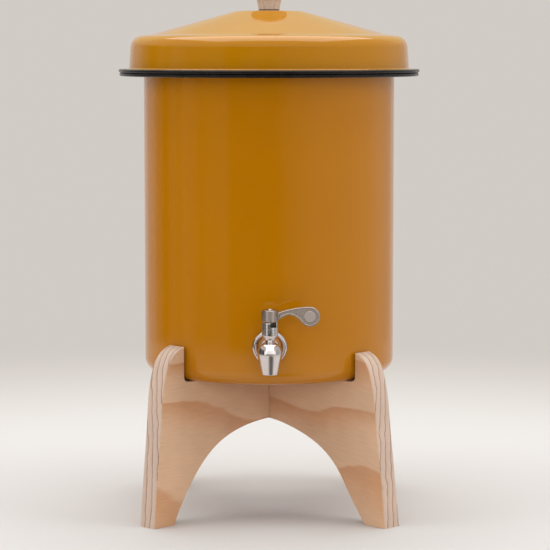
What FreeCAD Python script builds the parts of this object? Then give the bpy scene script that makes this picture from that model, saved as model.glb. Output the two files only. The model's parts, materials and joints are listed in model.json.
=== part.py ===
import FreeCAD, Part
import math
import os

# A counter-top water filter: an enamelled steel vessel with a fired-clay filter pot
# inside, a lid with a wooden knob, a quarter-turn tap, and a crossed board stand.
# Millimetres. The origin is on the floor under the vessel's axis, +Z is up,
# the tap faces -Y and its closed lever points to +X.

# Vessel: drawn steel with enamel on both sides
vessel_radius = 150.0
vessel_wall = 1.4
vessel_height = 357.7
vessel_corner_radius = 15.0
rim_overhang = 29.0
rim_bead_radius = 2.1
rim_bend_radius = 2.4

# Stand: two boards on edge, half-lapped at the middle
board_thickness = 25.0
seat_height = 166.5
lap_height = 58.2
lap_clearance = 0.1
cradle_clearance = 2.8
foot_reach = 48.2
foot_width = 32.0
notch_fillet = 6.5
board_edge_round = 1.6
leg_bulge = 2.2
# A leg's outer edge: share of the height to the shoulder, share of the bulge there
leg_flank = ((0.33, 0.6), (0.67, 1.0))
# A horn's round top: share of its width, share of its shoulder
horn_round = ((0.34, 0.63), (0.70, 0.895))

# The two boards differ a little: horn rise, width and shoulder, then points of the arch
# as inset from the foot's inner edge and height
left_horn_rise = 41.5
left_horn_width = 28.0
left_horn_shoulder = 27.0
left_leg_arch = ((18.8, 33.5), (44.2, 65.6), (70.0, 86.4), (109.6, 102.0))
right_horn_rise = 34.0
right_horn_width = 23.5
right_horn_shoulder = 23.5
right_leg_arch = ((22.5, 29.0), (45.0, 61.0), (70.0, 82.0), (109.0, 98.5))

# Filter pot: fired clay, hung from its lip
lip_overhang = 13.0
lip_thickness = 14.0
pot_depth = 230.0
pot_gap = 5.6
pot_taper = 25.0
pot_wall = 13.0
pot_floor = 15.0
pot_corner_radius = 28.0
lip_round = 5.0
neck_round = 3.0

# Lid: pressed steel cone with a skirt and a rolled rim
lid_wall = 1.2
lid_rim_step = 1.0
lid_seat_gap = 0.05
lip_to_lid_clearance = 3.3
skirt_height = 37.8
skirt_taper = 2.6
skirt_foot_bend = 2.2
shoulder_bend = 11.0
land_width = 24.0
land_rise = 3.2
land_bend = 80.0
cone_rise = 28.1
crown_radius = 38.5
crown_bend = 45.0

# Knob: turned wood, screwed from below
knob_base_radius = 12.7
knob_head_radius = 24.0
knob_height = 31.0
knob_waist_radius = 14.8
knob_waist_height = 11.0
knob_base_flare = 0.7
knob_neck_share = 0.58
knob_head_edge = 21.0
# The knob's dome: share of the head's radius, share of the dome's height
knob_dome = ((0.93, 0.48), (0.62, 0.86))
knob_gasket_thickness = 1.6
knob_gasket_inset = 0.4
knob_screw_radius = 2.5
knob_screw_reach = 18.0
knob_screw_head_radius = 4.8
knob_screw_head_height = 3.4
knob_screw_head_round = 2.0
knob_screw_edge_round = 0.2
knob_screw_slot_width = 1.2
knob_screw_slot_depth = 1.4
knob_screw_hole_clearance = 0.25
knob_washer_radius = 9.0
knob_washer_thickness = 1.2

# Tap: where it stands
tap_height = 45.8
tap_reach = 30.0

# Tap: shank, seals and nut at the vessel wall
shank_radius = 8.0
shank_bore_radius = 5.0
shank_hole_clearance = 0.5
shank_inside_length = 20.0
outer_gasket_radius = 16.5
outer_gasket_thickness = 2.0
escutcheon_radius = 20.0
escutcheon_band = 4.2
escutcheon_depth = 4.0
escutcheon_sheet = 1.0
escutcheon_slope = 2.6
escutcheon_rim_gap = 0.8
escutcheon_dish_bend = 1.5
escutcheon_crest_bend = 1.0
escutcheon_edge_bend = 1.4
escutcheon_inner_bend = 0.5
escutcheon_crest_shift = 0.4
escutcheon_dish_shift = 0.8
collar_radius = 10.5
collar_length = 3.5
neck_radius = 8.6
inner_gasket_radius = 14.0
inner_gasket_thickness = 2.5
washer_radius = 14.5
washer_thickness = 1.5
nut_across_flats = 24.0
nut_height = 8.0
nut_chamfer_width = 1.7
nut_chamfer_height = 1.0

# Tap: bell, neck and barrel on the upright axis, heights from the shank's centre
mouth_drop = 27.3
mouth_radius = 9.7
mouth_lip_round = 0.9
bell_middle_drop = 13.0
bell_middle_radius = 12.5
bell_radius = 13.6
bell_shoulder_rise = 6.0
bell_shoulder_radius = 10.9
waist_rise = 9.8
waist_radius = 5.0
barrel_foot_rise = 17.4
barrel_rise = 32.1
barrel_radius = 9.4
barrel_foot_round = 1.2
barrel_top_round = 0.4

# Tap: passages and the turning valve
running_clearance = 0.05
outlet_bore_radius = 8.0
plug_radius = 7.0
plug_height = 13.6
plug_drop = 7.2
port_radius = 4.0
drive_slot_depth = 1.9
drive_slot_width = 3.0
seat_thickness = 2.0
seat_bore_radius = 4.4
retainer_thickness = 6.0
retainer_slot_width = 2.0
retainer_slot_depth = 2.0
stem_radius = 3.0
stem_collar_radius = 5.2
stem_floor_rise = 18.7
stem_collar_length = 9.8
stem_top_radius = 4.0
stem_square = 6.0
o_ring_section_radius = 0.9
o_ring_spacing = 4.2
o_ring_first_rise = 2.8
gland_gap = 0.2

# Tap: lever, its screw and its stop
hub_gap = 1.4
hub_radius = 9.5
hub_height = 13.2
hub_edge_round = 0.9
hub_cap_thickness = 2.0
lever_thickness = 5.2
lever_edge_round = 0.7
paddle_centre_out = 45.5
paddle_centre_drop = 7.8
paddle_radius = 11.3
paddle_pad_radius = 6.4
paddle_pad_rise = 0.3
lever_rim = 1.5
lever_recess_depth = 0.7
arm_top_bend = 102.0
arm_root_bury = 1.0
arm_root_depth = 12.6
arm_middle_out = 22.5
arm_middle_drop = 5.9
arm_lower_tangent_deg = 222.0
arm_root_slope_deg = 34.0
hub_foot_round = 0.4
lever_turn_deg = 90.0
lever_screw_radius = 1.5
lever_screw_reach = 9.0
lever_screw_head_radius = 3.0
lever_screw_head_height = 1.1
stop_pin_radius = 1.2
stop_pin_circle = 7.7
stop_pin_drop = 4.6
stop_pin_grip = 4.0
stop_pin_rest_deg = 15.0
stop_clearance = 0.3

# How far a cutting shape runs past the face that it cuts
cut_over = 1.0

# Smallest bend inside a pressed sheet, and the most of a run that one bend takes
least_bend = 0.3
bend_share = 0.48

# An edge that spans less than this across a plate lies in one of its faces
flat_tolerance = 0.01

# Places that follow from the sizes above
rim_top = seat_height + vessel_height
rim_radius = vessel_radius + rim_overhang
vessel_bore = vessel_radius - vessel_wall
pot_lip_radius = vessel_radius + lip_overhang
lid_rim_top = rim_top + lid_seat_gap + 2 * rim_bead_radius
lid_top = lid_rim_top + skirt_height + land_rise + cone_rise
skirt_radius = pot_lip_radius + lip_to_lid_clearance + lid_wall
shank_z = seat_height + tap_height
tap_axis_y = -(vessel_radius + tap_reach)
barrel_top = shank_z + barrel_rise
hub_foot = barrel_top + hub_gap
hub_top = hub_foot + hub_height


def vector(r, z):
    """A point of a profile in the XZ plane."""
    return FreeCAD.Vector(r, 0, z)


def straight(start, end):
    """A straight edge between two profile points."""
    return Part.LineSegment(vector(*start), vector(*end)).toShape()


def curve(points):
    """A smooth edge through profile points."""
    spline = Part.BSplineCurve()
    spline.interpolate([vector(*point) for point in points])
    return spline.toShape()


def rounded_path(corners):
    """Edges along corners (r, z, bend radius): straight runs joined by tangent arcs."""
    edges = []
    here = corners[0][:2]
    for before, corner, after in zip(corners, corners[1:], corners[2:]):
        run_in = math.dist(before[:2], corner[:2])
        run_out = math.dist(corner[:2], after[:2])
        u = [(corner[i] - before[i]) / run_in for i in (0, 1)]
        w = [(after[i] - corner[i]) / run_out for i in (0, 1)]
        turn = math.acos(max(-1.0, min(1.0, u[0] * w[0] + u[1] * w[1])))
        bend = min(corner[2], bend_share * min(run_in, run_out) / math.tan(turn / 2))
        reach = bend * math.tan(turn / 2)
        inward = bend / math.cos(turn / 2) - bend
        spread = math.hypot(w[0] - u[0], w[1] - u[1])
        first = [corner[i] - reach * u[i] for i in (0, 1)]
        middle = [corner[i] + inward * (w[i] - u[i]) / spread for i in (0, 1)]
        last = [corner[i] + reach * w[i] for i in (0, 1)]
        edges.append(straight(here, first))
        edges.append(Part.Arc(vector(*first), vector(*middle), vector(*last)).toShape())
        here = last
    edges.append(straight(here, corners[-1][:2]))
    return edges


def beside_path(corners, distance):
    """The same corners moved to the right of the path by a distance, with matching bends."""
    moved = []
    for index, (r, z, bend) in enumerate(corners):
        sides = []
        for start, end in ((index - 1, index), (index, index + 1)):
            if start < 0 or end >= len(corners):
                continue
            run = math.dist(corners[start][:2], corners[end][:2])
            along = [(corners[end][i] - corners[start][i]) / run for i in (0, 1)]
            sides.append((along[1], -along[0]))
        first, last = sides[0], sides[-1]
        share = distance / (1 + first[0] * last[0] + first[1] * last[1])
        turns_right = first[1] * last[0] - first[0] * last[1] < 0
        new_bend = bend - distance if turns_right else bend + distance
        step = ((first[0] + last[0]) * share, (first[1] + last[1]) * share)
        moved.append((r + step[0], z + step[1], max(new_bend, least_bend)))
    return moved


def turned(edges, degrees=360):
    """A closed profile turned about the Z axis."""
    face = Part.Face(Part.Wire(edges))
    return face.revolve(FreeCAD.Vector(0, 0, 0), FreeCAD.Vector(0, 0, 1), degrees)


def turned_polygon(points, degrees=360):
    """A polygon of (r, z) points turned about the Z axis."""
    closed = list(points) + [points[0]]
    return turned([straight(a, b) for a, b in zip(closed, closed[1:])], degrees)


def pressed_sheet(path, wall, bead_radius):
    """A sheet turned about Z. The path is its upper face, which ends over the middle of a
    rolled bead; the sheet lies to the right of the path."""
    bead_r, bead_top = path[-1][:2]
    bead_z = bead_top - bead_radius
    tuck = math.sqrt(bead_radius ** 2 - (bead_radius - wall) ** 2)
    lean = math.cos(math.pi / 4) * bead_radius
    roll = [
        Part.Arc(
            vector(bead_r, bead_top),
            vector(bead_r + lean, bead_z + lean),
            vector(bead_r + bead_radius, bead_z),
        ).toShape(),
        Part.Arc(
            vector(bead_r + bead_radius, bead_z),
            vector(bead_r, bead_z - bead_radius),
            vector(bead_r - tuck, bead_top - wall),
        ).toShape(),
    ]
    under = beside_path(path, wall)
    under[-1] = (bead_r - tuck, bead_top - wall, 0)
    over = rounded_path(path)
    back = rounded_path(under[::-1])
    end = straight(under[0][:2], path[0][:2])
    return turned(over + roll + back + [end])


def on_tap_axis(shape):
    """A shape turned about Z, moved to the tap's upright axis."""
    return shape.translated(FreeCAD.Vector(0, tap_axis_y, 0))


def on_shank_axis(shape):
    """A shape turned about Z, whose Z becomes the distance out from the vessel's axis."""
    laid = shape.rotated(FreeCAD.Vector(0, 0, 0), FreeCAD.Vector(1, 0, 0), 90)
    return laid.translated(FreeCAD.Vector(0, 0, shank_z))


def upright_cylinder(radius, foot, top, x=0.0, y=0.0):
    """A cylinder along Z between two heights."""
    return Part.makeCylinder(radius, top - foot, FreeCAD.Vector(x, y, foot))


def board(horn_rise, horn_width, horn_shoulder, leg_arch):
    """One stand board along X, before its lap is cut: feet, arch, cradle and horns."""
    horn_inner = vessel_radius + cradle_clearance
    horn_outer = horn_inner + horn_width
    foot_outer = horn_inner + foot_reach
    foot_inner = foot_outer - foot_width
    arch_top = seat_height - lap_height
    horn_top = seat_height + horn_rise
    shoulder_z = horn_top - horn_shoulder
    splay = foot_outer - horn_outer
    leg = [
        (foot_outer - splay * rise + leg_bulge * swell, shoulder_z * rise)
        for rise, swell in leg_flank
    ]
    horn = [
        (horn_outer - horn_width * across, shoulder_z + horn_shoulder * rise)
        for across, rise in horn_round
    ]
    flank = curve([(foot_outer, 0), *leg, (horn_outer, shoulder_z), *horn, (horn_inner, horn_top)])
    notch = rounded_path(
        [(horn_inner, horn_top, 0), (horn_inner, seat_height, notch_fillet), (0, seat_height, 0)]
    )
    right = [straight((foot_inner, 0), (foot_outer, 0)), flank] + notch
    left = [edge.mirror(FreeCAD.Vector(0, 0, 0), FreeCAD.Vector(1, 0, 0)) for edge in right]
    inner_half = [(foot_inner, 0)] + [(foot_inner - inset, z) for inset, z in leg_arch]
    mirrored_half = [(-r, z) for r, z in reversed(inner_half)]
    arch = curve(inner_half + [(0, arch_top)] + mirrored_half)
    outline = Part.Wire(Part.__sortEdges__(right + left + [arch]))
    blank = Part.Face(outline).extrude(FreeCAD.Vector(0, board_thickness, 0))
    blank = blank.translated(FreeCAD.Vector(0, -board_thickness / 2, 0))
    return blank.makeFillet(board_edge_round, curved_edges(blank))


def curved_edges(blank):
    """The edges of a board's flanks and arch, on both of its faces."""
    return [
        edge for edge in blank.Edges
        if edge.BoundBox.YLength < flat_tolerance and isinstance(edge.Curve, Part.BSplineCurve)
    ]


def lap_cut(foot, top):
    """The slot that one board leaves for the other."""
    width = board_thickness + 2 * lap_clearance
    return Part.makeBox(
        width, 2 * board_thickness, top - foot,
        FreeCAD.Vector(-width / 2, -board_thickness, foot),
    )


def stand_boards():
    """Both boards, lapped at half the height of their middle and turned to a cross."""
    up = FreeCAD.Vector(0, 0, 1)
    middle = FreeCAD.Vector(0, 0, 0)
    lap_z = seat_height - lap_height / 2
    left = board(left_horn_rise, left_horn_width, left_horn_shoulder, left_leg_arch)
    left = left.cut(lap_cut(lap_z, seat_height + board_thickness))
    right = board(right_horn_rise, right_horn_width, right_horn_shoulder, right_leg_arch)
    right = right.cut(lap_cut(-board_thickness, lap_z))
    return left.rotated(middle, up, 45), right.rotated(middle, up, -45)


def vessel():
    """The steel vessel: flat bottom, straight wall, and a flange with a rolled bead."""
    inside = [
        (0, seat_height + vessel_wall, 0),
        (vessel_bore, seat_height + vessel_wall, vessel_corner_radius - vessel_wall),
        (vessel_bore, rim_top, rim_bend_radius + vessel_wall),
        (rim_radius - rim_bead_radius, rim_top, 0),
    ]
    shell = pressed_sheet(inside, vessel_wall, rim_bead_radius)
    hole = Part.makeCylinder(shank_radius + shank_hole_clearance, vessel_radius)
    return shell.cut(on_shank_axis(hole.translated(FreeCAD.Vector(0, 0, vessel_radius / 2))))


def filter_pot():
    """The clay pot: a tapered cup that hangs by its lip on the vessel's flange."""
    top_radius = vessel_bore - pot_gap
    foot_radius = top_radius - pot_taper
    foot_z = rim_top - pot_depth
    lip_top = rim_top + lip_thickness
    outside = [
        (0, foot_z, 0),
        (foot_radius, foot_z, pot_corner_radius),
        (top_radius, rim_top, neck_round),
        (pot_lip_radius, rim_top, lip_round),
        (pot_lip_radius, lip_top, lip_round),
        (top_radius - pot_wall, lip_top, lip_round),
        (foot_radius - pot_wall, foot_z + pot_floor, pot_corner_radius - pot_wall),
        (0, foot_z + pot_floor, 0),
    ]
    return turned(rounded_path(outside) + [straight(outside[-1][:2], outside[0][:2])])


def lid_shell():
    """The pressed lid: crown, cone, land, shoulder, skirt and rolled rim."""
    skirt_top = lid_rim_top + skirt_height
    skirt_top_radius = skirt_radius - skirt_taper
    outside = [
        (knob_screw_radius + knob_screw_hole_clearance, lid_top, 0),
        (crown_radius, lid_top, crown_bend),
        (skirt_top_radius - land_width, skirt_top + land_rise, land_bend),
        (skirt_top_radius, skirt_top, shoulder_bend),
        (skirt_radius, lid_rim_top, skirt_foot_bend),
        (rim_radius + lid_rim_step - rim_bead_radius, lid_rim_top, 0),
    ]
    return pressed_sheet(outside, lid_wall, rim_bead_radius)


def knob():
    """The turned knob: a flared stem under a low domed head."""
    foot = lid_top + knob_gasket_thickness
    top = foot + knob_height
    edge_z = foot + knob_head_edge
    waist_z = foot + knob_waist_height
    flank = curve([
        (knob_base_radius, foot),
        (knob_base_radius + knob_base_flare, (foot + waist_z) / 2),
        (knob_waist_radius, waist_z),
        ((knob_waist_radius + knob_head_radius) / 2, waist_z + (edge_z - waist_z) * knob_neck_share),
        (knob_head_radius, edge_z),
    ])
    rounded = [
        (knob_head_radius * across, edge_z + (top - edge_z) * rise) for across, rise in knob_dome
    ]
    dome = curve([(knob_head_radius, edge_z), *rounded, (0, top)])
    body = turned([
        straight((0, foot), (knob_base_radius, foot)),
        flank,
        dome,
        straight((0, top), (0, foot)),
    ])
    return body.cut(upright_cylinder(knob_screw_radius, foot - cut_over, foot + knob_screw_reach))


def knob_gasket():
    """The soft washer between the knob and the lid."""
    inner = knob_screw_radius + knob_screw_hole_clearance
    outer = knob_base_radius - knob_gasket_inset
    top = lid_top + knob_gasket_thickness
    return turned_polygon([(inner, lid_top), (outer, lid_top), (outer, top), (inner, top)])


def knob_washer():
    """The steel washer under the lid's crown."""
    inner = knob_screw_radius + knob_screw_hole_clearance
    top = lid_top - lid_wall
    foot = top - knob_washer_thickness
    return turned_polygon([
        (inner, foot), (knob_washer_radius, foot), (knob_washer_radius, top), (inner, top),
    ])


def knob_screw():
    """The pan-head screw that holds the knob from inside the lid."""
    shoulder = lid_top - lid_wall - knob_washer_thickness
    foot = shoulder - knob_screw_head_height
    tip = lid_top + knob_gasket_thickness + knob_screw_reach
    profile = rounded_path([
        (0, foot, 0),
        (knob_screw_head_radius, foot, knob_screw_head_round),
        (knob_screw_head_radius, shoulder, knob_screw_edge_round),
        (knob_screw_radius, shoulder, 0),
    ])
    profile.append(straight((knob_screw_radius, shoulder), (knob_screw_radius, tip)))
    profile.append(straight((knob_screw_radius, tip), (0, tip)))
    profile.append(straight((0, tip), (0, foot)))
    slot = Part.makeBox(
        2 * knob_screw_head_radius, knob_screw_slot_width, knob_screw_slot_depth,
        FreeCAD.Vector(-knob_screw_head_radius, -knob_screw_slot_width / 2, foot),
    )
    return turned(profile).cut(slot)


def outer_gasket():
    """The seal between the escutcheon's flat back and the round wall."""
    face = vessel_radius + outer_gasket_thickness
    ring = turned_polygon([
        (shank_radius, vessel_radius - outer_gasket_radius),
        (outer_gasket_radius, vessel_radius - outer_gasket_radius),
        (outer_gasket_radius, face),
        (shank_radius, face),
    ])
    wall = upright_cylinder(vessel_radius, seat_height, rim_top)
    return on_shank_axis(ring).cut(wall)


def inner_gasket():
    """The seal between the round wall and the flat washer inside."""
    face = vessel_bore - inner_gasket_thickness
    ring = turned_polygon([
        (shank_radius, face),
        (inner_gasket_radius, face),
        (inner_gasket_radius, vessel_radius),
        (shank_radius, vessel_radius),
    ])
    bore = upright_cylinder(vessel_bore, seat_height, rim_top)
    return on_shank_axis(ring).common(bore)


def tap_washer():
    """The flat washer under the nut."""
    face = vessel_bore - inner_gasket_thickness
    return on_shank_axis(turned_polygon([
        (shank_radius, face - washer_thickness),
        (washer_radius, face - washer_thickness),
        (washer_radius, face),
        (shank_radius, face),
    ]))


def tap_nut():
    """The hexagonal nut that pulls the tap against the wall, with chamfered corners."""
    back = vessel_bore - inner_gasket_thickness - washer_thickness
    corner = nut_across_flats / 2 / math.cos(math.pi / 6)
    corners = [
        FreeCAD.Vector(
            corner * math.cos(math.radians(60 * step)),
            corner * math.sin(math.radians(60 * step)),
            back - nut_height,
        )
        for step in range(7)
    ]
    prism = Part.Face(Part.makePolygon(corners)).extrude(FreeCAD.Vector(0, 0, nut_height))
    bounds = turned_polygon([
        (shank_radius, back - nut_height),
        (corner - nut_chamfer_width, back - nut_height),
        (corner, back - nut_height + nut_chamfer_height),
        (corner, back),
        (shank_radius, back),
    ])
    return on_shank_axis(prism.common(bounds))


def tap_escutcheon():
    """The dished trim ring: flat back, sloping dish and a raised outer band."""
    back = vessel_radius + outer_gasket_thickness
    band = back + escutcheon_depth
    band_inner = escutcheon_radius - escutcheon_band
    dish = band_inner - escutcheon_slope
    hidden_face = band - escutcheon_sheet
    rim_back = vessel_radius + escutcheon_rim_gap
    outside = [
        (shank_radius, back + escutcheon_sheet, 0),
        (dish, back + escutcheon_sheet, escutcheon_dish_bend),
        (band_inner, band, escutcheon_crest_bend),
        (escutcheon_radius, band, escutcheon_edge_bend),
        (escutcheon_radius, rim_back, 0),
    ]
    under = [
        (escutcheon_radius - escutcheon_sheet, rim_back, 0),
        (escutcheon_radius - escutcheon_sheet, hidden_face, escutcheon_inner_bend),
        (band_inner + escutcheon_crest_shift, hidden_face, escutcheon_inner_bend),
        (dish + escutcheon_dish_shift, back, escutcheon_crest_bend),
        (shank_radius, back, 0),
    ]
    edge = straight(outside[-1][:2], under[0][:2])
    bore = straight(under[-1][:2], outside[0][:2])
    profile = rounded_path(outside) + [edge] + rounded_path(under) + [bore]
    return on_shank_axis(turned(profile))


def tap_body():
    """The cast tap: shank, bell, waist and barrel, with its passages and stop notch."""
    mouth_z = shank_z - mouth_drop
    waist_z = shank_z + waist_rise
    barrel_foot = shank_z + barrel_foot_rise
    lip_inner = (mouth_radius - mouth_lip_round, mouth_z)
    lip_outer = (mouth_radius, mouth_z + mouth_lip_round)
    bell = curve([
        lip_outer,
        (bell_middle_radius, shank_z - bell_middle_drop),
        (bell_radius, shank_z),
        (bell_shoulder_radius, shank_z + bell_shoulder_rise),
        (waist_radius, waist_z),
    ])
    upper = rounded_path([
        (waist_radius, waist_z, 0),
        (barrel_radius, barrel_foot, barrel_foot_round),
        (barrel_radius, barrel_top, barrel_top_round),
        (0, barrel_top, 0),
    ])
    upright = turned(
        [bell] + upper + [
            straight((0, barrel_top), (0, mouth_z)),
            straight((0, mouth_z), lip_inner),
            straight(lip_inner, lip_outer),
        ]
    )
    collar_back = vessel_radius + outer_gasket_thickness + escutcheon_sheet
    shank = turned_polygon([
        (0, vessel_bore - shank_inside_length),
        (shank_radius, vessel_bore - shank_inside_length),
        (shank_radius, collar_back),
        (collar_radius, collar_back),
        (collar_radius, collar_back + collar_length),
        (neck_radius, collar_back + collar_length),
        (neck_radius, -tap_axis_y),
        (0, -tap_axis_y),
    ])
    body = on_tap_axis(upright).fuse(on_shank_axis(shank))
    return body.cut([on_tap_axis(passage()), inlet_passage(), on_tap_axis(stop_notch())])


def passage():
    """The space bored along the upright axis: outlet, plug chamber, stem bore, barrel bore."""
    chamber_top = plug_foot() + plug_height + running_clearance
    stem_floor = shank_z + stem_floor_rise
    chamber = plug_radius + running_clearance
    stem_bore = stem_radius + running_clearance
    barrel_bore = stem_collar_radius + running_clearance
    mouth_z = shank_z - mouth_drop
    return turned_polygon([
        (0, mouth_z - cut_over),
        (outlet_bore_radius, mouth_z - cut_over),
        (outlet_bore_radius, retainer_foot()),
        (chamber, retainer_foot()),
        (chamber, chamber_top),
        (stem_bore, chamber_top),
        (stem_bore, stem_floor),
        (barrel_bore, stem_floor),
        (barrel_bore, barrel_top + cut_over),
        (0, barrel_top + cut_over),
    ])


def inlet_passage():
    """The bore from inside the vessel to the plug chamber."""
    start = vessel_bore - shank_inside_length - cut_over
    bore = Part.makeCylinder(shank_bore_radius, -tap_axis_y - start)
    return on_shank_axis(bore.translated(FreeCAD.Vector(0, 0, start)))


def stop_notch():
    """The slot round the barrel's top in which the stop pin travels."""
    inner = stop_pin_circle - stop_pin_radius - stop_clearance
    half = math.degrees(math.asin((stop_pin_radius + stop_clearance) / stop_pin_circle))
    outer = barrel_radius + cut_over
    foot = hub_foot - stop_pin_drop - hub_gap - stop_clearance
    top = barrel_top + cut_over
    sweep = lever_turn_deg + 2 * half
    wedge = turned_polygon([(inner, foot), (outer, foot), (outer, top), (inner, top)], sweep)
    start = stop_pin_rest_deg - lever_turn_deg - half
    return wedge.rotated(FreeCAD.Vector(0, 0, 0), FreeCAD.Vector(0, 0, 1), start)


def plug_foot():
    """The height of the plug's lower end."""
    return shank_z - plug_drop


def retainer_foot():
    """The height of the retainer ring's lower end."""
    return plug_foot() - running_clearance - seat_thickness - retainer_thickness


def valve_plug():
    """The turning plug with its bent port, shut while the lever points to +X."""
    foot = plug_foot()
    top = foot + plug_height
    plug = upright_cylinder(plug_radius, foot, top)
    side_port = Part.makeCylinder(
        port_radius, plug_radius + cut_over,
        FreeCAD.Vector(0, 0, shank_z), FreeCAD.Vector(-1, 0, 0),
    )
    down_port = upright_cylinder(port_radius, foot - cut_over, shank_z)
    slot = Part.makeBox(
        2 * stem_radius, drive_slot_width, drive_slot_depth + cut_over,
        FreeCAD.Vector(-stem_radius, -drive_slot_width / 2, top - drive_slot_depth),
    )
    return on_tap_axis(plug.cut([side_port, down_port, slot]))


def valve_seat():
    """The soft seat ring under the plug."""
    top = plug_foot() - running_clearance
    return on_tap_axis(turned_polygon([
        (seat_bore_radius, top - seat_thickness),
        (plug_radius, top - seat_thickness),
        (plug_radius, top),
        (seat_bore_radius, top),
    ]))


def plug_retainer():
    """The ring that holds the seat and the plug up, with a driver slot."""
    foot = retainer_foot()
    radius = plug_radius + running_clearance
    ring = turned_polygon([
        (seat_bore_radius, foot),
        (radius, foot),
        (radius, foot + retainer_thickness),
        (seat_bore_radius, foot + retainer_thickness),
    ])
    slot = Part.makeBox(
        2 * (radius + cut_over), retainer_slot_width, retainer_slot_depth,
        FreeCAD.Vector(-radius - cut_over, -retainer_slot_width / 2, foot),
    )
    return on_tap_axis(ring.cut(slot))


def valve_stem():
    """The stem: drive tang, sealed collar, round top and a square for the lever."""
    plug_top = plug_foot() + plug_height
    floor = shank_z + stem_floor_rise + running_clearance
    collar_top = floor + stem_collar_length
    square_top = hub_top - hub_cap_thickness
    groove_floor = stem_collar_radius - 2 * o_ring_section_radius
    rod = turned_polygon([
        (0, plug_top), (stem_radius, plug_top), (stem_radius, floor), (stem_collar_radius, floor),
        (stem_collar_radius, collar_top), (stem_top_radius, collar_top),
        (stem_top_radius, hub_foot), (0, hub_foot),
    ])
    grooves = [
        turned_polygon([
            (groove_floor, z - o_ring_section_radius),
            (stem_collar_radius + cut_over, z - o_ring_section_radius),
            (stem_collar_radius + cut_over, z + o_ring_section_radius),
            (groove_floor, z + o_ring_section_radius),
        ])
        for z in o_ring_heights()
    ]
    half = stem_square / 2
    square = Part.makeBox(
        stem_square, stem_square, square_top - hub_foot, FreeCAD.Vector(-half, -half, hub_foot)
    )
    tang = Part.makeBox(
        2 * stem_radius, drive_slot_width, drive_slot_depth,
        FreeCAD.Vector(-stem_radius, -drive_slot_width / 2, plug_top - drive_slot_depth),
    )
    tang = tang.common(upright_cylinder(stem_radius, plug_top - drive_slot_depth, plug_top))
    stem = rod.cut(grooves).fuse([square, tang])
    screw_hole = upright_cylinder(lever_screw_radius, hub_top - lever_screw_reach, hub_top)
    return on_tap_axis(stem.removeSplitter().cut(screw_hole))


def o_ring_heights():
    """The heights of the two O-rings on the stem's collar."""
    first = shank_z + stem_floor_rise + running_clearance + o_ring_first_rise
    return first, first + o_ring_spacing


def stem_o_rings():
    """Both O-rings, in the grooves of the stem's collar."""
    ring_radius = stem_collar_radius - o_ring_section_radius
    rings = [
        Part.makeTorus(ring_radius, o_ring_section_radius, FreeCAD.Vector(0, 0, z))
        for z in o_ring_heights()
    ]
    return on_tap_axis(Part.makeCompound(rings))


def gland_ring():
    """The ring screwed into the barrel over the stem's collar."""
    inner = stem_top_radius + running_clearance
    outer = stem_collar_radius + running_clearance
    foot = shank_z + stem_floor_rise + running_clearance + stem_collar_length + gland_gap
    return on_tap_axis(turned_polygon([
        (inner, foot), (outer, foot), (outer, barrel_top), (inner, barrel_top),
    ]))


def lever_outline(inset=0.0):
    """The lever's arm and paddle as a closed face in the XZ plane, from inside the hub, with
    its edge drawn in by an inset. The upper edge is a long arc that meets the paddle at its top."""
    cx = paddle_centre_out
    cz = hub_top - paddle_centre_drop
    radius = paddle_radius - inset
    bend = arm_top_bend - inset
    low = math.radians(arm_lower_tangent_deg)
    bend_z = cz + radius - bend
    root_x = hub_radius - arm_root_bury
    middle_x = (root_x + cx) / 2
    paddle_top = (cx, cz + radius)
    crest, root_top = [(x, bend_z + math.sqrt(bend ** 2 - (cx - x) ** 2)) for x in (middle_x, root_x)]
    low_touch = (cx + radius * math.cos(low), cz + radius * math.sin(low))
    root_slope = math.radians(arm_root_slope_deg)
    root_low = (root_x, hub_top - arm_root_depth + inset / math.cos(root_slope))
    middle = (arm_middle_out, hub_top - arm_middle_drop + inset)
    under = Part.BSplineCurve()
    under.interpolate(
        Points=[vector(*root_low), vector(*middle), vector(*low_touch)],
        InitialTangent=FreeCAD.Vector(math.cos(root_slope), 0, math.sin(root_slope)),
        FinalTangent=FreeCAD.Vector(-math.sin(low), 0, math.cos(low)),
    )
    around = Part.Arc(vector(*low_touch), vector(cx + radius, cz), vector(*paddle_top))
    upper = Part.Arc(vector(*paddle_top), vector(*crest), vector(*root_top))
    return Part.Face(Part.Wire([
        under.toShape(),
        around.toShape(),
        upper.toShape(),
        straight(root_top, root_low),
    ]))


def tap_lever():
    """The lever: a round hub, a curved arm and a paddle that stands on edge."""
    half = lever_thickness / 2
    plate = lever_outline().extrude(FreeCAD.Vector(0, lever_thickness, 0))
    plate = plate.translated(FreeCAD.Vector(0, -half, 0))
    outline = [edge for edge in plate.Edges if edge.BoundBox.YLength < flat_tolerance]
    rim = [edge for edge in outline if edge.BoundBox.XMax > hub_radius]
    plate = plate.makeFillet(lever_edge_round, rim)
    hub = turned(rounded_path([
        (0, hub_foot, 0),
        (hub_radius, hub_foot, hub_foot_round),
        (hub_radius, hub_top, hub_edge_round),
        (0, hub_top, 0),
    ]) + [straight((0, hub_top), (0, hub_foot))])
    square = stem_square / 2
    socket = Part.makeBox(
        stem_square, stem_square, hub_height - hub_cap_thickness,
        FreeCAD.Vector(-square, -square, hub_foot),
    )
    screw_hole = upright_cylinder(lever_screw_radius, hub_foot, hub_top + cut_over)
    lever = hub.fuse(plate.cut(lever_recesses())).cut([socket, screw_hole, stop_pin_shape()])
    return on_tap_axis(lever)


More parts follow.
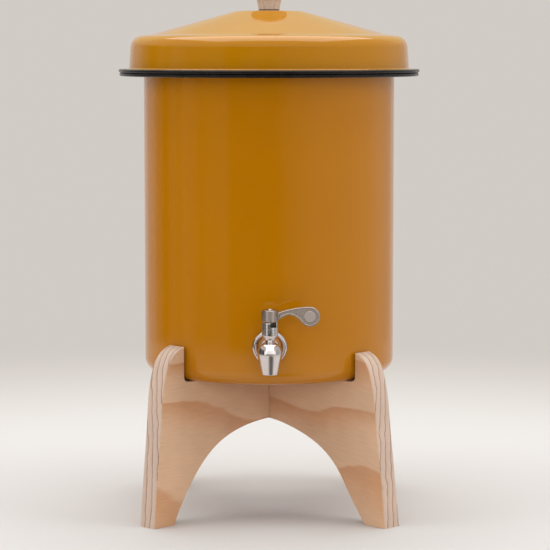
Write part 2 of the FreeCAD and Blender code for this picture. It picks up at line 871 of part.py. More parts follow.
def lever_recesses():
    """The shallow recess inside the raised rim, on each side, round a low pad on the paddle."""
    floor = lever_thickness / 2 - lever_recess_depth
    depth = lever_recess_depth + cut_over
    recess = lever_outline(lever_rim).extrude(FreeCAD.Vector(0, depth, 0))
    pad = Part.makeCylinder(
        paddle_pad_radius, paddle_pad_rise,
        FreeCAD.Vector(paddle_centre_out, 0, hub_top - paddle_centre_drop), FreeCAD.Vector(0, 1, 0),
    )
    back = recess.cut(pad).translated(FreeCAD.Vector(0, floor, 0))
    front = back.mirror(FreeCAD.Vector(0, 0, 0), FreeCAD.Vector(0, 1, 0))
    return [back, front]


def stop_pin_shape():
    """The stop pin about the lever's own axis, at its rest angle."""
    angle = math.radians(stop_pin_rest_deg)
    return upright_cylinder(
        stop_pin_radius, hub_foot - stop_pin_drop - hub_gap + stop_clearance, hub_foot + stop_pin_grip,
        stop_pin_circle * math.cos(angle), stop_pin_circle * math.sin(angle),
    )


def stop_pin():
    """The pin pressed into the hub's underside."""
    return on_tap_axis(stop_pin_shape())


def lever_screw():
    """The dome-head screw on top of the lever."""
    head = rounded_path([
        (lever_screw_head_radius, hub_top, 0),
        (lever_screw_head_radius, hub_top + lever_screw_head_height, lever_screw_head_height),
        (0, hub_top + lever_screw_head_height, 0),
    ])
    tip = hub_top - lever_screw_reach
    profile = [
        straight((0, tip), (lever_screw_radius, tip)),
        straight((lever_screw_radius, tip), (lever_screw_radius, hub_top)),
        straight((lever_screw_radius, hub_top), (lever_screw_head_radius, hub_top)),
    ]
    axis = straight((0, hub_top + lever_screw_head_height), (0, tip))
    return on_tap_axis(turned(profile + head + [axis]))


def all_parts():
    """Every piece by its name."""
    left, right = stand_boards()
    return {
        "stand_board_left": left,
        "stand_board_right": right,
        "water_vessel": vessel(),
        "filter_pot": filter_pot(),
        "lid_shell": lid_shell(),
        "lid_knob": knob(),
        "knob_gasket": knob_gasket(),
        "knob_washer": knob_washer(),
        "knob_screw": knob_screw(),
        "tap_body": tap_body(),
        "tap_escutcheon": tap_escutcheon(),
        "outer_gasket": outer_gasket(),
        "inner_gasket": inner_gasket(),
        "tap_washer": tap_washer(),
        "tap_nut": tap_nut(),
        "plug_retainer": plug_retainer(),
        "valve_seat": valve_seat(),
        "valve_plug": valve_plug(),
        "valve_stem": valve_stem(),
        "stem_o_rings": stem_o_rings(),
        "gland_ring": gland_ring(),
        "stop_pin": stop_pin(),
        "tap_lever": tap_lever(),
        "lever_screw": lever_screw(),
    }


def main():
    """Write one STEP file for each piece."""
    os.makedirs("parts", exist_ok=True)
    for name, shape in all_parts().items():
        box = shape.BoundBox
        print(
            f"{name}: solids {len(shape.Solids)}, valid {shape.isValid()}, "
            f"volume {shape.Volume:.0f} mm3, z {box.ZMin:.1f} to {box.ZMax:.1f}"
        )
        shape.exportStep(os.path.join("parts", name + ".step"))


main()
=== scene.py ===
"""Looks of a counter-top water filter.

A mustard enamelled steel vessel with a clay filter pot inside stands in a cross of two pine
boards. It has a pressed enamelled lid with a wooden knob and a polished lever tap. Metres; the
origin is on the floor under the vessel's axis, +Z is up and the tap faces -Y.
"""

from __future__ import annotations

import json
import logging
import math
from dataclasses import dataclass, field
from enum import Enum
from typing import Callable, Iterable, Sequence

import bmesh
import bpy
import numpy as np
from bpy.types import Collection, Material, Node, NodeSocket, NodeTree, Object
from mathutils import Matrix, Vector

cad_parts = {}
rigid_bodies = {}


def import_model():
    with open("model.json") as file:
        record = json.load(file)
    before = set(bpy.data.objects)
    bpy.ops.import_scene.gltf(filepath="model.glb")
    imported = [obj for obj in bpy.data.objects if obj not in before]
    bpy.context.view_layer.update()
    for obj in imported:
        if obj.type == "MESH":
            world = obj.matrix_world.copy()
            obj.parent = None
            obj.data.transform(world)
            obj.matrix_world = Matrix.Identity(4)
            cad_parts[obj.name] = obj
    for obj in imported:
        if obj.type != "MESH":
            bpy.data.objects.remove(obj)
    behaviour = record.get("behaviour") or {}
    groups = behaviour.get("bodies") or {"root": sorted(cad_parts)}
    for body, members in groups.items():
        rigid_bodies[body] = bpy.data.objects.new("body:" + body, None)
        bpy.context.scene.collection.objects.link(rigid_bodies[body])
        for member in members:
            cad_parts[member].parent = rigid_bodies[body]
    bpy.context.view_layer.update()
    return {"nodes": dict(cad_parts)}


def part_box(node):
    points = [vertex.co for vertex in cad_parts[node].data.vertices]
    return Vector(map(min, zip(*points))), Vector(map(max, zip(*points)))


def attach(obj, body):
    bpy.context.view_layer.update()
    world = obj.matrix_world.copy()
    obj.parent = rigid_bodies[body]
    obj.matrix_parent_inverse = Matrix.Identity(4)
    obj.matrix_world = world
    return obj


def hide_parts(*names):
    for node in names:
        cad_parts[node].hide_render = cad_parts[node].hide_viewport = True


log = logging.getLogger("water_filter")

MM = 0.001
FULL_TURN = 2 * math.pi
QUARTER_TURN = math.pi / 2

# Corners that are closer than this are one corner.
SAME_PLACE = 1e-6
# A path that turns by less than this, in radians, runs straight on.
STRAIGHT_ON = 1e-4
# The largest share of a straight run that an arc at its end may take.
LARGEST_ARC = 0.48

Corner = tuple[float, float, float]
Colour = tuple[float, float, float]
Pairs = tuple[tuple[float, float], ...]


class Slot(Enum):
    """Finish slots of the record."""

    ENAMEL = "enamel"
    PINE = "pine"
    KNOB_WOOD = "knob_wood"
    CLAY = "clay"
    TAP_STEEL = "tap_steel"


class Body(Enum):
    """Bodies that the pieces ride on."""

    STAND = "stand"
    VESSEL = "vessel"
    LEVER = "tap_lever"
    FILTER = "filter"
    LID = "lid"


# Curves and profiles


def bent_path(corners: Sequence[Corner], steps: int = 8, support: float = 0.7 * MM) -> np.ndarray:
    """Points along straight runs that are joined by tangent arcs.

    At a corner with bend b and turn t the arc starts b*tan(t/2) before the corner and ends as far
    after it. A bend that its runs are too short for gets smaller. Where a run is long enough, a
    point stands beside each arc, so that the run keeps its own shading.

    Args:
        corners: Points (r, z, bend) of the path.
        steps: Edges in each arc.
        support: Distance of the extra point from an arc.

    Returns:
        Points (r, z), one row each.
    """
    raw = np.array(corners, float)
    places = raw[:, :2]
    room = 3 * support
    points = [places[0]]
    for before, here, after, bend in zip(places, places[1:], places[2:], raw[1:, 2]):
        run_in, run_out = np.linalg.norm(here - before), np.linalg.norm(after - here)
        u, w = (here - before) / run_in, (after - here) / run_out
        turn = math.acos(float(np.clip(u @ w, -1, 1)))
        if bend <= 0 or turn < STRAIGHT_ON:
            points.append(here)
            continue
        bend = min(bend, LARGEST_ARC * min(run_in, run_out) / math.tan(turn / 2))
        reach = bend * math.tan(turn / 2)
        centre = here + (w - u) / np.linalg.norm(w - u) * bend / math.cos(turn / 2)
        arm = here - reach * u - centre
        side = math.copysign(1.0, u[0] * w[1] - u[1] * w[0])
        swing = side * np.linspace(0, turn, steps + 1)
        arc = np.outer(np.cos(swing), arm) + np.outer(np.sin(swing), (-arm[1], arm[0])) + centre
        if run_in - reach > room:
            points.append(arc[0] - u * support)
        points.extend(arc)
        if run_out - reach > room:
            points.append(arc[-1] + w * support)
    points.append(places[-1])
    return np.array(points)


def smooth_curve(
    points: Sequence[Sequence[float]],
    count: int,
    start: Sequence[float] | None = None,
    end: Sequence[float] | None = None,
) -> np.ndarray:
    """A cubic curve with an even bend through the given points.

    The slopes at the points solve one linear system, and each span is a Hermite cubic over its
    chord. An end with no given direction takes that of the parabola through its three points.

    Args:
        points: Points (r, z) that the curve passes.
        count: Number of points in the result.
        start: Unit direction at the first point.
        end: Unit direction at the last point.

    Returns:
        Points (r, z), one row each.
    """
    known = np.array(points, float)
    spans = np.linalg.norm(np.diff(known, axis=0), axis=1)
    chords = np.diff(known, axis=0) / spans[:, None]
    size = len(known)
    matrix = np.eye(size)
    right = np.zeros((size, 2))

    def parabola(first: int, second: int) -> np.ndarray:
        """Slope at an outer end from its two nearest chords."""
        near, far = spans[first], spans[second]
        return chords[first] + (chords[first] - chords[second]) * near / (near + far)

    right[0] = parabola(0, 1) if start is None else start
    right[-1] = parabola(-1, -2) if end is None else end
    for row in range(1, size - 1):
        before, after = 1 / spans[row - 1], 1 / spans[row]
        matrix[row, row - 1 : row + 2] = before, 2 * (before + after), after
        right[row] = 3 * (chords[row - 1] * before + chords[row] * after)
    slopes = np.linalg.solve(matrix, right)
    knots = np.concatenate([[0], np.cumsum(spans)])
    places = np.linspace(0, knots[-1], count)
    span = np.clip(np.searchsorted(knots, places, side="right") - 1, 0, size - 2)
    h = spans[span][:, None]
    t = (places[:, None] - knots[span][:, None]) / h
    return (
        (1 + 2 * t) * (1 - t) ** 2 * known[span]
        + t * (1 - t) ** 2 * h * slopes[span]
        + t**2 * (3 - 2 * t) * known[span + 1]
        + t**2 * (t - 1) * h * slopes[span + 1]
    )


def arc_points(centre: Sequence[float], radius: float, start: float, end: float, count: int) -> np.ndarray:
    """Points (r, z) on an arc between two angles in radians."""
    swing = np.linspace(start, end, count)
    return np.column_stack([centre[0] + radius * np.cos(swing), centre[1] + radius * np.sin(swing)])


def path_normals(points: np.ndarray, closed: bool = False) -> np.ndarray:
    """Unit normals to the right of a path.

    Args:
        points: Points (r, z) of the path.
        closed: Whether the last point runs on to the first.

    Returns:
        One unit normal for each point.
    """
    if closed:
        along = np.roll(points, -1, axis=0) - np.roll(points, 1, axis=0)
    else:
        along = np.gradient(points, axis=0)
    normals = np.column_stack([along[:, 1], -along[:, 0]])
    return normals / np.linalg.norm(normals, axis=1)[:, None]


# Surfaces


@dataclass
class Surface:
    """Corners and faces of one shape, with a zone number for each face."""

    corners: np.ndarray
    faces: list[tuple[int, ...]]
    zones: list[int]

    def moved(self, x: float = 0.0, y: float = 0.0, z: float = 0.0) -> Surface:
        """The same shape at another place."""
        return Surface(self.corners + np.array([x, y, z]), self.faces, self.zones)

    def laid_forward(self) -> Surface:
        """The same shape with its +Z turned to -Y."""
        x, y, z = self.corners.T
        return Surface(np.column_stack([x, -z, y]), self.faces, self.zones)

    def turned_about_z(self, angle: float) -> Surface:
        """The same shape turned about Z by an angle in radians."""
        x, y, z = self.corners.T
        c, s = math.cos(angle), math.sin(angle)
        return Surface(np.column_stack([c * x - s * y, s * x + c * y, z]), self.faces, self.zones)


def joined(*shapes: Surface) -> Surface:
    """Several shapes as one, in their order."""
    faces: list[tuple[int, ...]] = []
    zones: list[int] = []
    first = 0
    for shape in shapes:
        faces += [tuple(first + corner for corner in face) for face in shape.faces]
        zones += shape.zones
        first += len(shape.corners)
    return Surface(np.vstack([shape.corners for shape in shapes]), faces, zones)


def grid(
    points: np.ndarray,
    close_rows: bool,
    close_columns: bool,
    row_zones: Iterable[int] | None = None,
) -> Surface:
    """A surface of quads over a grid of points.

    Args:
        points: Array (rows, columns, 3).
        close_rows: Whether the last row joins the first.
        close_columns: Whether the last column joins the first.
        row_zones: Zone of the faces that start at each row.

    Returns:
        The surface.
    """
    rows, columns = points.shape[:2]
    across = np.arange(rows if close_rows else rows - 1)
    along = np.arange(columns if close_columns else columns - 1)
    i, j = np.meshgrid(across, along, indexing="ij")
    next_i, next_j = (i + 1) % rows, (j + 1) % columns
    here, there = i * columns, next_i * columns
    quads = np.stack([here + j, here + next_j, there + next_j, there + j], -1).reshape(-1, 4)
    zones = np.zeros(len(across), int)
    if row_zones is not None:
        zones = np.array(list(row_zones), int)[: len(across)]
    face_zones = np.repeat(zones, len(along)).tolist()
    return Surface(points.reshape(-1, 3), list(map(tuple, quads.tolist())), face_zones)


def turned(profile: np.ndarray, segments: int, zones: Iterable[int] | None = None) -> Surface:
    """A closed profile turned about Z.

    The corner at profile point (r, z) and angle a is (r cos a, r sin a, z). The profile's last
    point runs on to its first, and points on the axis close the poles.

    Args:
        profile: Points (r, z).
        segments: Faces round the axis.
        zones: Zone of the faces that start at each profile point.

    Returns:
        The surface.
    """
    angles = np.arange(segments) * FULL_TURN / segments
    r, z = profile[:, :1], profile[:, 1:]
    points = np.stack([r * np.cos(angles), r * np.sin(angles), z + 0 * angles], -1)
    return grid(points, True, True, zones)


def pressed_sheet(path: np.ndarray, wall: float, bead: float) -> tuple[np.ndarray, list[int]]:
    """The closed section of a pressed sheet with a rolled bead at its end.

    The path is the upper face and ends over the bead's centre. The lower face is each point moved
    by the wall along its normal, and the bead is the circle between the two.

    Args:
        path: Points (r, z) of the upper face, from the axis outwards.
        wall: Thickness of the sheet.
        bead: Radius of the bead.

    Returns:
        The section's points, and a zone for each: 0 on the upper face, 1 below, 2 on the bead.
    """
    centre = (path[-1, 0], path[-1, 1] - bead)
    tuck = math.atan2(bead - wall, -math.sqrt(bead**2 - (bead - wall) ** 2)) - FULL_TURN
    roll = arc_points(centre, bead, QUARTER_TURN, tuck, count=30)[1:-1]
    under = path + path_normals(path) * wall
    under[:, 0] = np.maximum(under[:, 0], path[:, 0].min())
    keep = under[:, 0] < roll[-1, 0]
    back = under[keep][::-1]
    zones = [0] * (len(path) - 1) + [2] * (len(roll) + 1) + [1] * len(back)
    return np.vstack([path, roll, back]), zones


def build_mesh(name: str, shape: Surface, finishes: Sequence[Material], sharp_deg: float) -> Object:
    """A surface as a Blender object at the origin, merged, closed and with its faces outwards.

    Args:
        name: Name of the piece.
        shape: The surface.
        finishes: One material for each zone.
        sharp_deg: Edges that turn by more than this stay sharp.

    Returns:
        The object.
    """
    mesh = bpy.data.meshes.new(name)
    mesh.from_pydata(shape.corners.tolist(), [], shape.faces)
    mesh.polygons.foreach_set("material_index", np.array(shape.zones, np.int32))
    for finish in finishes:
        mesh.materials.append(finish)
    work = bmesh.new()
    work.from_mesh(mesh)
    bmesh.ops.remove_doubles(work, verts=work.verts, dist=SAME_PLACE)
    bmesh.ops.dissolve_degenerate(work, edges=work.edges, dist=SAME_PLACE)
    bmesh.ops.recalc_face_normals(work, faces=work.faces)
    work.to_mesh(mesh)
    work.free()
    mesh.shade_smooth()
    mesh.set_sharp_from_angle(angle=math.radians(sharp_deg))
    piece = bpy.data.objects.new(name, mesh)
    bpy.context.scene.collection.objects.link(piece)
    return piece


# Material nodes


class Sheet:
    """A node tree that is filled node by node."""

    def __init__(self, tree: NodeTree) -> None:
        """Takes the tree and clears it."""
        self.tree = tree
        tree.nodes.clear()

    def node(
        self, kind: str, inputs: dict[str | int, object] | None = None, **settings: object
    ) -> Node:
        """Adds a node.

        Args:
            kind: Blender's name of the node type.
            inputs: Value or source socket for each input, by name or number.
            **settings: Properties of the node.

        Returns:
            The node.
        """
        made = self.tree.nodes.new(kind)
        for name, value in settings.items():
            setattr(made, name, value)
        for key, value in (inputs or {}).items():
            if isinstance(value, NodeSocket):
                self.link(value, made.inputs[key])
            else:
                made.inputs[key].default_value = value
        return made

    def link(self, source: NodeSocket, target: NodeSocket) -> None:
        """Joins an output to an input."""
        self.tree.links.new(source, target)

    def math(self, operation: str, *values: object) -> NodeSocket:
        """The result of a Math node."""
        return self.node("ShaderNodeMath", dict(enumerate(values)), operation=operation).outputs[0]

    def axes(self, vector: NodeSocket) -> Sequence[NodeSocket]:
        """The X, Y and Z of a vector."""
        return self.node("ShaderNodeSeparateXYZ", {0: vector}).outputs

    def stretched(self, vector: NodeSocket, *scale: float) -> NodeSocket:
        """A vector times one number for each axis. A small number draws a pattern out."""
        return self.node("ShaderNodeMapping", {"Vector": vector, "Scale": scale}).outputs[0]

    def ramp(
        self, value: NodeSocket, low: object, high: float, start: float = 0, end: float = 1
    ) -> NodeSocket:
        """The value taken smoothly from low..high to start..end."""
        keys = {"Value": value, "From Min": low, "From Max": high, "To Min": start, "To Max": end}
        return self.node("ShaderNodeMapRange", keys, interpolation_type="SMOOTHSTEP").outputs[0]

    def between(self, share: NodeSocket, start: float, end: float) -> NodeSocket:
        """A number from start to end by a share."""
        return self.ramp(share, 0, 1, start, end)

    def mix(self, share: object, first: object, second: object) -> NodeSocket:
        """Two colours mixed by a share."""
        keys = {0: share, 6: solid(first), 7: solid(second)}
        return self.node("ShaderNodeMix", keys, data_type="RGBA").outputs[2]

    def noise(self, vector: NodeSocket, scale: object, detail: float = 2) -> NodeSocket:
        """The value of a Noise node, at a scale per metre."""
        keys = {"Vector": vector, "Scale": scale, "Detail": detail}
        return self.node("ShaderNodeTexNoise", keys).outputs[0]

    def group(self, made: NodeTree, **inputs: object) -> Node:
        """Places a shared group."""
        return self.node("ShaderNodeGroup", inputs, node_tree=made)


def solid(colour: object) -> object:
    """A colour with its alpha, or the socket as it is."""
    return (*colour, 1.0) if isinstance(colour, tuple) and len(colour) == 3 else colour


def new_group(
    name: str, inputs: dict[str, object], outputs: Sequence[str]
) -> tuple[Sheet, Node, Node]:
    """Starts a shared node group.

    Args:
        name: Name of the group.
        inputs: Default value of each input; None stands for a vector.
        outputs: Names of the outputs, all plain numbers.

    Returns:
        The sheet, its input node and its output node.
    """
    tree = bpy.data.node_groups.new(name, "ShaderNodeTree")
    for key, value in inputs.items():
        kind = "NodeSocketVector" if value is None else "NodeSocketFloat"
        socket = tree.interface.new_socket(key, in_out="INPUT", socket_type=kind)
        if value is not None:
            socket.default_value = value
    for key in outputs:
        tree.interface.new_socket(key, in_out="OUTPUT", socket_type="NodeSocketFloat")
    sheet = Sheet(tree)
    return sheet, sheet.node("NodeGroupInput"), sheet.node("NodeGroupOutput")


class Effects:
    """Node groups that several finishes share, each built once."""

    def __init__(self) -> None:
        """Builds each group."""
        self.mottle = self.build_mottle()
        self.grain = self.build_grain()
        self.brush = self.build_brush()
        self.grit = self.build_grit()
        self.dip_line = self.build_dip_line()

    def cloud(self, sheet: Sheet, place: NodeSocket, scale: float) -> NodeSocket:
        """Places the mottle in a material, at a scale per metre."""
        return sheet.group(self.mottle, Vector=place, Scale=scale).outputs[0]

    @staticmethod
    def build_mottle() -> NodeTree:
        """Soft cloudy variation between 0 and 1, at a scale per metre."""
        sheet, given, out = new_group("mottle", {"Vector": None, "Scale": 10.0}, ["Value"])
        cloud = sheet.noise(given.outputs["Vector"], given.outputs["Scale"], detail=4)
        sheet.link(sheet.ramp(cloud, 0.3, 0.7), out.inputs["Value"])
        return sheet.tree

    @staticmethod
    def build_grain() -> NodeTree:
        """Growth rings of a board sawn from far outside the heart of a tree that lies along X.

        The ring number is the distance from the tree's axis over the spacing, plus a slow sway
        and a small shake. Within a ring the tone stays low until the start, and then climbs to
        the ring's outer edge, where it drops. The line is the narrow dark part beside that edge,
        and the fibre is fine streaks along X.
        """
        keys = {"Vector": None, "Spacing": 0.008, "Sway": 1.0, "Shake": 0.1, "Start": 0.45, "Edge": 0.02}
        sheet, given, out = new_group("pine_grain", keys, ["Ring", "Line", "Fibre"])
        place = given.outputs["Vector"]
        drawn = sheet.stretched(place, 0.55, 1.0, 1.0)
        slow = sheet.math("SUBTRACT", sheet.noise(drawn, 8.0, detail=1), 0.5)
        fine = sheet.math("SUBTRACT", sheet.noise(drawn, 45.0), 0.5)
        axes = sheet.axes(place)
        across = sheet.math("POWER", axes[1], 2.0)
        up = sheet.math("POWER", axes[2], 2.0)
        radius = sheet.math("SQRT", sheet.math("ADD", across, up))
        count = sheet.math("DIVIDE", radius, given.outputs["Spacing"])
        sway = sheet.math("MULTIPLY", slow, given.outputs["Sway"])
        shake = sheet.math("MULTIPLY", fine, given.outputs["Shake"])
        share = sheet.math("FRACT", sheet.math("ADD", count, sheet.math("ADD", sway, shake)))
        fall_start = sheet.math("SUBTRACT", 1.0, given.outputs["Edge"])
        drop = sheet.ramp(share, fall_start, 1.0, 1.0, 0.0)
        ring = sheet.math("MULTIPLY", sheet.ramp(share, given.outputs["Start"], 0.98), drop)
        line = sheet.math("MULTIPLY", sheet.ramp(share, 0.80, 0.97), drop)
        fibre = sheet.noise(sheet.stretched(place, 0.05, 1.0, 1.0), 800.0, detail=2.5)
        for name, value in (("Ring", ring), ("Line", line), ("Fibre", fibre)):
            sheet.link(value, out.inputs[name])
        return sheet.tree

    @staticmethod
    def build_brush() -> NodeTree:
        """Fine polishing lines round the Z axis of the given vector."""
        sheet, given, out = new_group("polish_lines", {"Vector": None, "Scale": 900.0}, ["Value"])
        drawn = sheet.stretched(given.outputs["Vector"], 0.05, 0.05, 1.0)
        sheet.link(sheet.noise(drawn, given.outputs["Scale"]), out.inputs["Value"])
        return sheet.tree

    @staticmethod
    def build_grit() -> NodeTree:
        """Small round specks, 1 at a speck's middle, at a scale per metre."""
        sheet, given, out = new_group("grit", {"Vector": None, "Scale": 400.0, "Size": 0.16}, ["Value"])
        keys = {"Vector": given.outputs["Vector"], "Randomness": 1.0, "Scale": given.outputs["Scale"]}
        cells = sheet.node("ShaderNodeTexVoronoi", keys)
        near = sheet.math("DIVIDE", cells.outputs["Distance"], given.outputs["Size"])
        sheet.link(sheet.ramp(near, 0.6, 1.0, 1.0, 0.0), out.inputs["Value"])
        return sheet.tree

    @staticmethod
    def build_dip_line() -> NodeTree:
        """1 where the distance from the Z axis is past a radius that wavers a little."""
        keys = {"Vector": None, "Radius": 0.168, "Waver": 0.0006}
        sheet, given, out = new_group("dip_line", keys, ["Value"])
        axes = sheet.axes(given.outputs["Vector"])
        flat = sheet.node("ShaderNodeCombineXYZ", {0: axes[0], 1: axes[1]}).outputs[0]
        radius = sheet.node("ShaderNodeVectorMath", {0: flat}, operation="LENGTH").outputs["Value"]
        drift = sheet.math("SUBTRACT", sheet.noise(given.outputs["Vector"], 45.0), 0.5)
        edge = sheet.math("SUBTRACT", radius, sheet.math("MULTIPLY", drift, given.outputs["Waver"]))
        past = sheet.math("SUBTRACT", edge, given.outputs["Radius"])
        sheet.link(sheet.ramp(past, -0.25 * MM, 0.25 * MM), out.inputs["Value"])
        return sheet.tree


def start_material(name: str) -> tuple[Material, Sheet, NodeSocket]:
    """An empty material.

    Args:
        name: Name of the material.

    Returns:
        The material, its sheet and the Object coordinates.
    """
    material = bpy.data.materials.new(name)
    material.use_nodes = True
    sheet = Sheet(material.node_tree)
    place = sheet.node("ShaderNodeTexCoord").outputs["Object"]
    return material, sheet, place


def end_material(
    sheet: Sheet,
    colour: object,
    roughness: object,
    height: NodeSocket,
    depth: float,
    **keys: float,
) -> None:
    """Adds the shader, its bump and the output.

    Args:
        sheet: The material's sheet.
        colour: Base colour, or the socket that gives it.
        roughness: Roughness, or the socket that gives it.
        height: Socket of the bump's height.
        depth: Depth of the bump in metres.
        **keys: Further inputs of the shader, with underscores for spaces.
    """
    inputs = {"Base Color": colour, "Roughness": roughness}
    inputs.update({key.replace("_", " "): value for key, value in keys.items()})
    raised = sheet.node("ShaderNodeBump", {"Height": height, "Distance": depth, "Strength": 1.0})
    inputs["Normal"] = raised.outputs[0]
    shader = sheet.node("ShaderNodeBsdfPrincipled", inputs)
    sheet.node("ShaderNodeOutputMaterial", {0: shader.outputs[0]})


# Finishes


@dataclass(frozen=True)
class Finish:
    """A named finish. Each kind of finish paints its own material."""

    name: str

    def build(self, effects: Effects) -> Material:
        """The finish as a material."""
        material, sheet, place = start_material(self.name)
        self.paint(sheet, place, effects)
        return material

    def paint(self, sheet: Sheet, place: NodeSocket, effects: Effects) -> None:
        """Fills the material's sheet, from the Object coordinates and the shared groups."""
        raise NotImplementedError


@dataclass(frozen=True)
class EnamelFinish(Finish):
    """Glassy enamel fired on steel, black where the flange was dipped."""

    colour: Colour
    deep: Colour
    roughness: float = 0.06
    spread: float = 0.05
    dipped: Colour = (0.0045, 0.004, 0.0038)
    dip_radius: float = 168.6 * MM
    cloud_scale: float = 9.0
    sheen_scale: float = 35.0
    ripple_scale: float = 26.0
    ripple_depth: float = 0.1 * MM
    ior: float = 1.52

    def paint(self, sheet: Sheet, place: NodeSocket, effects: Effects) -> None:
        """A cloudy glaze, the dipped edge, an uneven sheen and a slow ripple."""
        glaze = sheet.mix(effects.cloud(sheet, place, self.cloud_scale), self.colour, self.deep)
        past = sheet.group(effects.dip_line, Vector=place, Radius=self.dip_radius).outputs[0]
        colour = sheet.mix(past, glaze, self.dipped)
        sheen = effects.cloud(sheet, place, self.sheen_scale)
        rough = sheet.between(sheen, self.roughness, self.roughness + self.spread)
        ripple = sheet.noise(place, self.ripple_scale)
        end_material(sheet, colour, rough, ripple, self.ripple_depth, IOR=self.ior)


@dataclass(frozen=True)
class RimFinish(Finish):
    """Dull black enamel on the rolled beads."""

    name: str = "black_bead"
    colour: Colour = (0.006, 0.005, 0.0045)
    worn: Colour = (0.011, 0.010, 0.009)
    roughness: float = 0.22
    spread: float = 0.10
    specular: float = 0.22
    cloud_scale: float = 60.0
    ripple_scale: float = 90.0
    ripple_depth: float = 0.05 * MM

    def paint(self, sheet: Sheet, place: NodeSocket, effects: Effects) -> None:
        """Black that is paler and duller where it is worn, with a fine ripple."""
        wear = effects.cloud(sheet, place, self.cloud_scale)
        colour = sheet.mix(wear, self.colour, self.worn)
        rough = sheet.between(wear, self.roughness, self.roughness + self.spread)
        ripple = sheet.noise(place, self.ripple_scale)
        depth = self.ripple_depth
        end_material(sheet, colour, rough, ripple, depth, Specular_IOR_Level=self.specular)


@dataclass(frozen=True)
class Timber:
    """Where a piece of wood lay in its tree, and how far apart the rings are."""

    turn_deg: float = 0.0
    heart: tuple[float, float, float] = (0.0, 1.8, -0.10)
    lean: tuple[float, float] = (0.0, 0.0)
    spacing: float = 8.5 * MM
    sway: float = 1.6


@dataclass(frozen=True)
class PineFinish(Finish):
    """Sanded pine: soft broad bands on the faces, dark lines on the sawn edges."""

    timber: Timber
    pale: Colour
    warm: Colour
    line: Colour
    band_start: float = 0.4
    band_edge: float = 0.05
    faintest_band: float = 0.55
    fading_scale: float = 7.0
    line_share: float = 0.15
    shake: float = 0.12
    blush: tuple[float, float] = (0.965, 1.035)
    blush_scale: float = 16.0
    streak: tuple[float, float] = (0.95, 1.04)
    roughness: float = 0.5
    band_polish: float = 0.08
    fibre_relief: float = 0.5
    line_relief: float = 0.6
    relief_depth: float = 0.1 * MM
    ior: float = 1.45

    def paint(self, sheet: Sheet, place: NodeSocket, effects: Effects) -> None:
        """Bands and lines by the ring, then a slow blush and fine streaks.

        The Object coordinates are turned back first, so that X runs along the board.
        """
        timber = self.timber
        turn = (0.0, 0.0, -math.radians(timber.turn_deg))
        own = sheet.node("ShaderNodeMapping", {"Vector": place, "Rotation": turn}).outputs[0]
        away = tuple(-part for part in timber.heart)
        keys = {"Vector": own, "Rotation": (0.0, *timber.lean), "Location": away}
        about = sheet.node("ShaderNodeMapping", keys).outputs[0]
        grain = sheet.group(
            effects.grain,
            Vector=about,
            Spacing=timber.spacing,
            Sway=timber.sway,
            Shake=self.shake,
            Start=self.band_start,
            Edge=self.band_edge,
        )
        ring, line, fibre = grain.outputs
        fading = sheet.between(effects.cloud(sheet, own, self.fading_scale), self.faintest_band, 1)
        body = sheet.mix(sheet.math("MULTIPLY", ring, fading), self.pale, self.warm)
        lined = sheet.mix(sheet.math("MULTIPLY", line, self.line_share), body, self.line)
        blush = sheet.between(effects.cloud(sheet, own, self.blush_scale), *self.blush)
        blushed = sheet.node("ShaderNodeHueSaturation", {"Color": lined, "Value": blush}).outputs[0]
        streak = sheet.ramp(fibre, 0.3, 0.7, *self.streak)
        toned = sheet.node("ShaderNodeHueSaturation", {"Color": blushed, "Value": streak}).outputs[0]
        rough = sheet.between(ring, self.roughness, self.roughness - self.band_polish)
        fibres = sheet.math("MULTIPLY", fibre, self.fibre_relief)
        relief = sheet.math("ADD", fibres, sheet.math("MULTIPLY", line, self.line_relief))
        end_material(sheet, toned, rough, relief, self.relief_depth, IOR=self.ior)


@dataclass(frozen=True)
class SteelFinish(Finish):
    """Polished or plain stainless steel."""

    colour: Colour
    roughness: float
    spread: float
    line_depth: float = 0.01 * MM
    line_scale: float = 900.0
    smear_scale: float = 120.0
    dullest: float = 0.96

    def paint(self, sheet: Sheet, place: NodeSocket, effects: Effects) -> None:
        """Fine polishing lines under small duller smears."""
        lines = sheet.group(effects.brush, Vector=place, Scale=self.line_scale).outputs[0]
        smear = effects.cloud(sheet, place, self.smear_scale)
        rough = sheet.between(smear, self.roughness, self.roughness + self.spread)
        dulled = tuple(self.dullest * part for part in self.colour)
        colour = sheet.mix(smear, self.colour, dulled)
        end_material(sheet, colour, rough, lines, self.line_depth, Metallic=1.0)


@dataclass(frozen=True)
class ClayFinish(Finish):
    """Porous fired clay."""

    name: str = "fired_clay"
    colour: Colour = (0.47, 0.215, 0.12)
    deep: Colour = (0.36, 0.15, 0.08)
    speck: Colour = (0.62, 0.40, 0.27)
    speck_share: float = 0.5
    speck_scale: float = 420.0
    speck_size: float = 0.22
    roughness: float = 0.8
    spread: float = 0.12
    cloud_scale: float = 14.0
    pore_scale: float = 700.0
    pore_depth: float = 0.25 * MM
    speck_drop: float = 0.6

    def paint(self, sheet: Sheet, place: NodeSocket, effects: Effects) -> None:
        """A cloudy body with pale specks, which lie a little lower than the porous skin."""
        cloud = effects.cloud(sheet, place, self.cloud_scale)
        body = sheet.mix(cloud, self.colour, self.deep)
        grit = sheet.group(effects.grit, Vector=place, Scale=self.speck_scale, Size=self.speck_size)
        specks = grit.outputs[0]
        colour = sheet.mix(sheet.math("MULTIPLY", specks, self.speck_share), body, self.speck)
        skin = sheet.noise(place, self.pore_scale, detail=4)
        relief = sheet.math("SUBTRACT", skin, sheet.math("MULTIPLY", specks, self.speck_drop))
        rough = sheet.between(cloud, self.roughness, self.roughness + self.spread)
        end_material(sheet, colour, rough, relief, self.pore_depth)


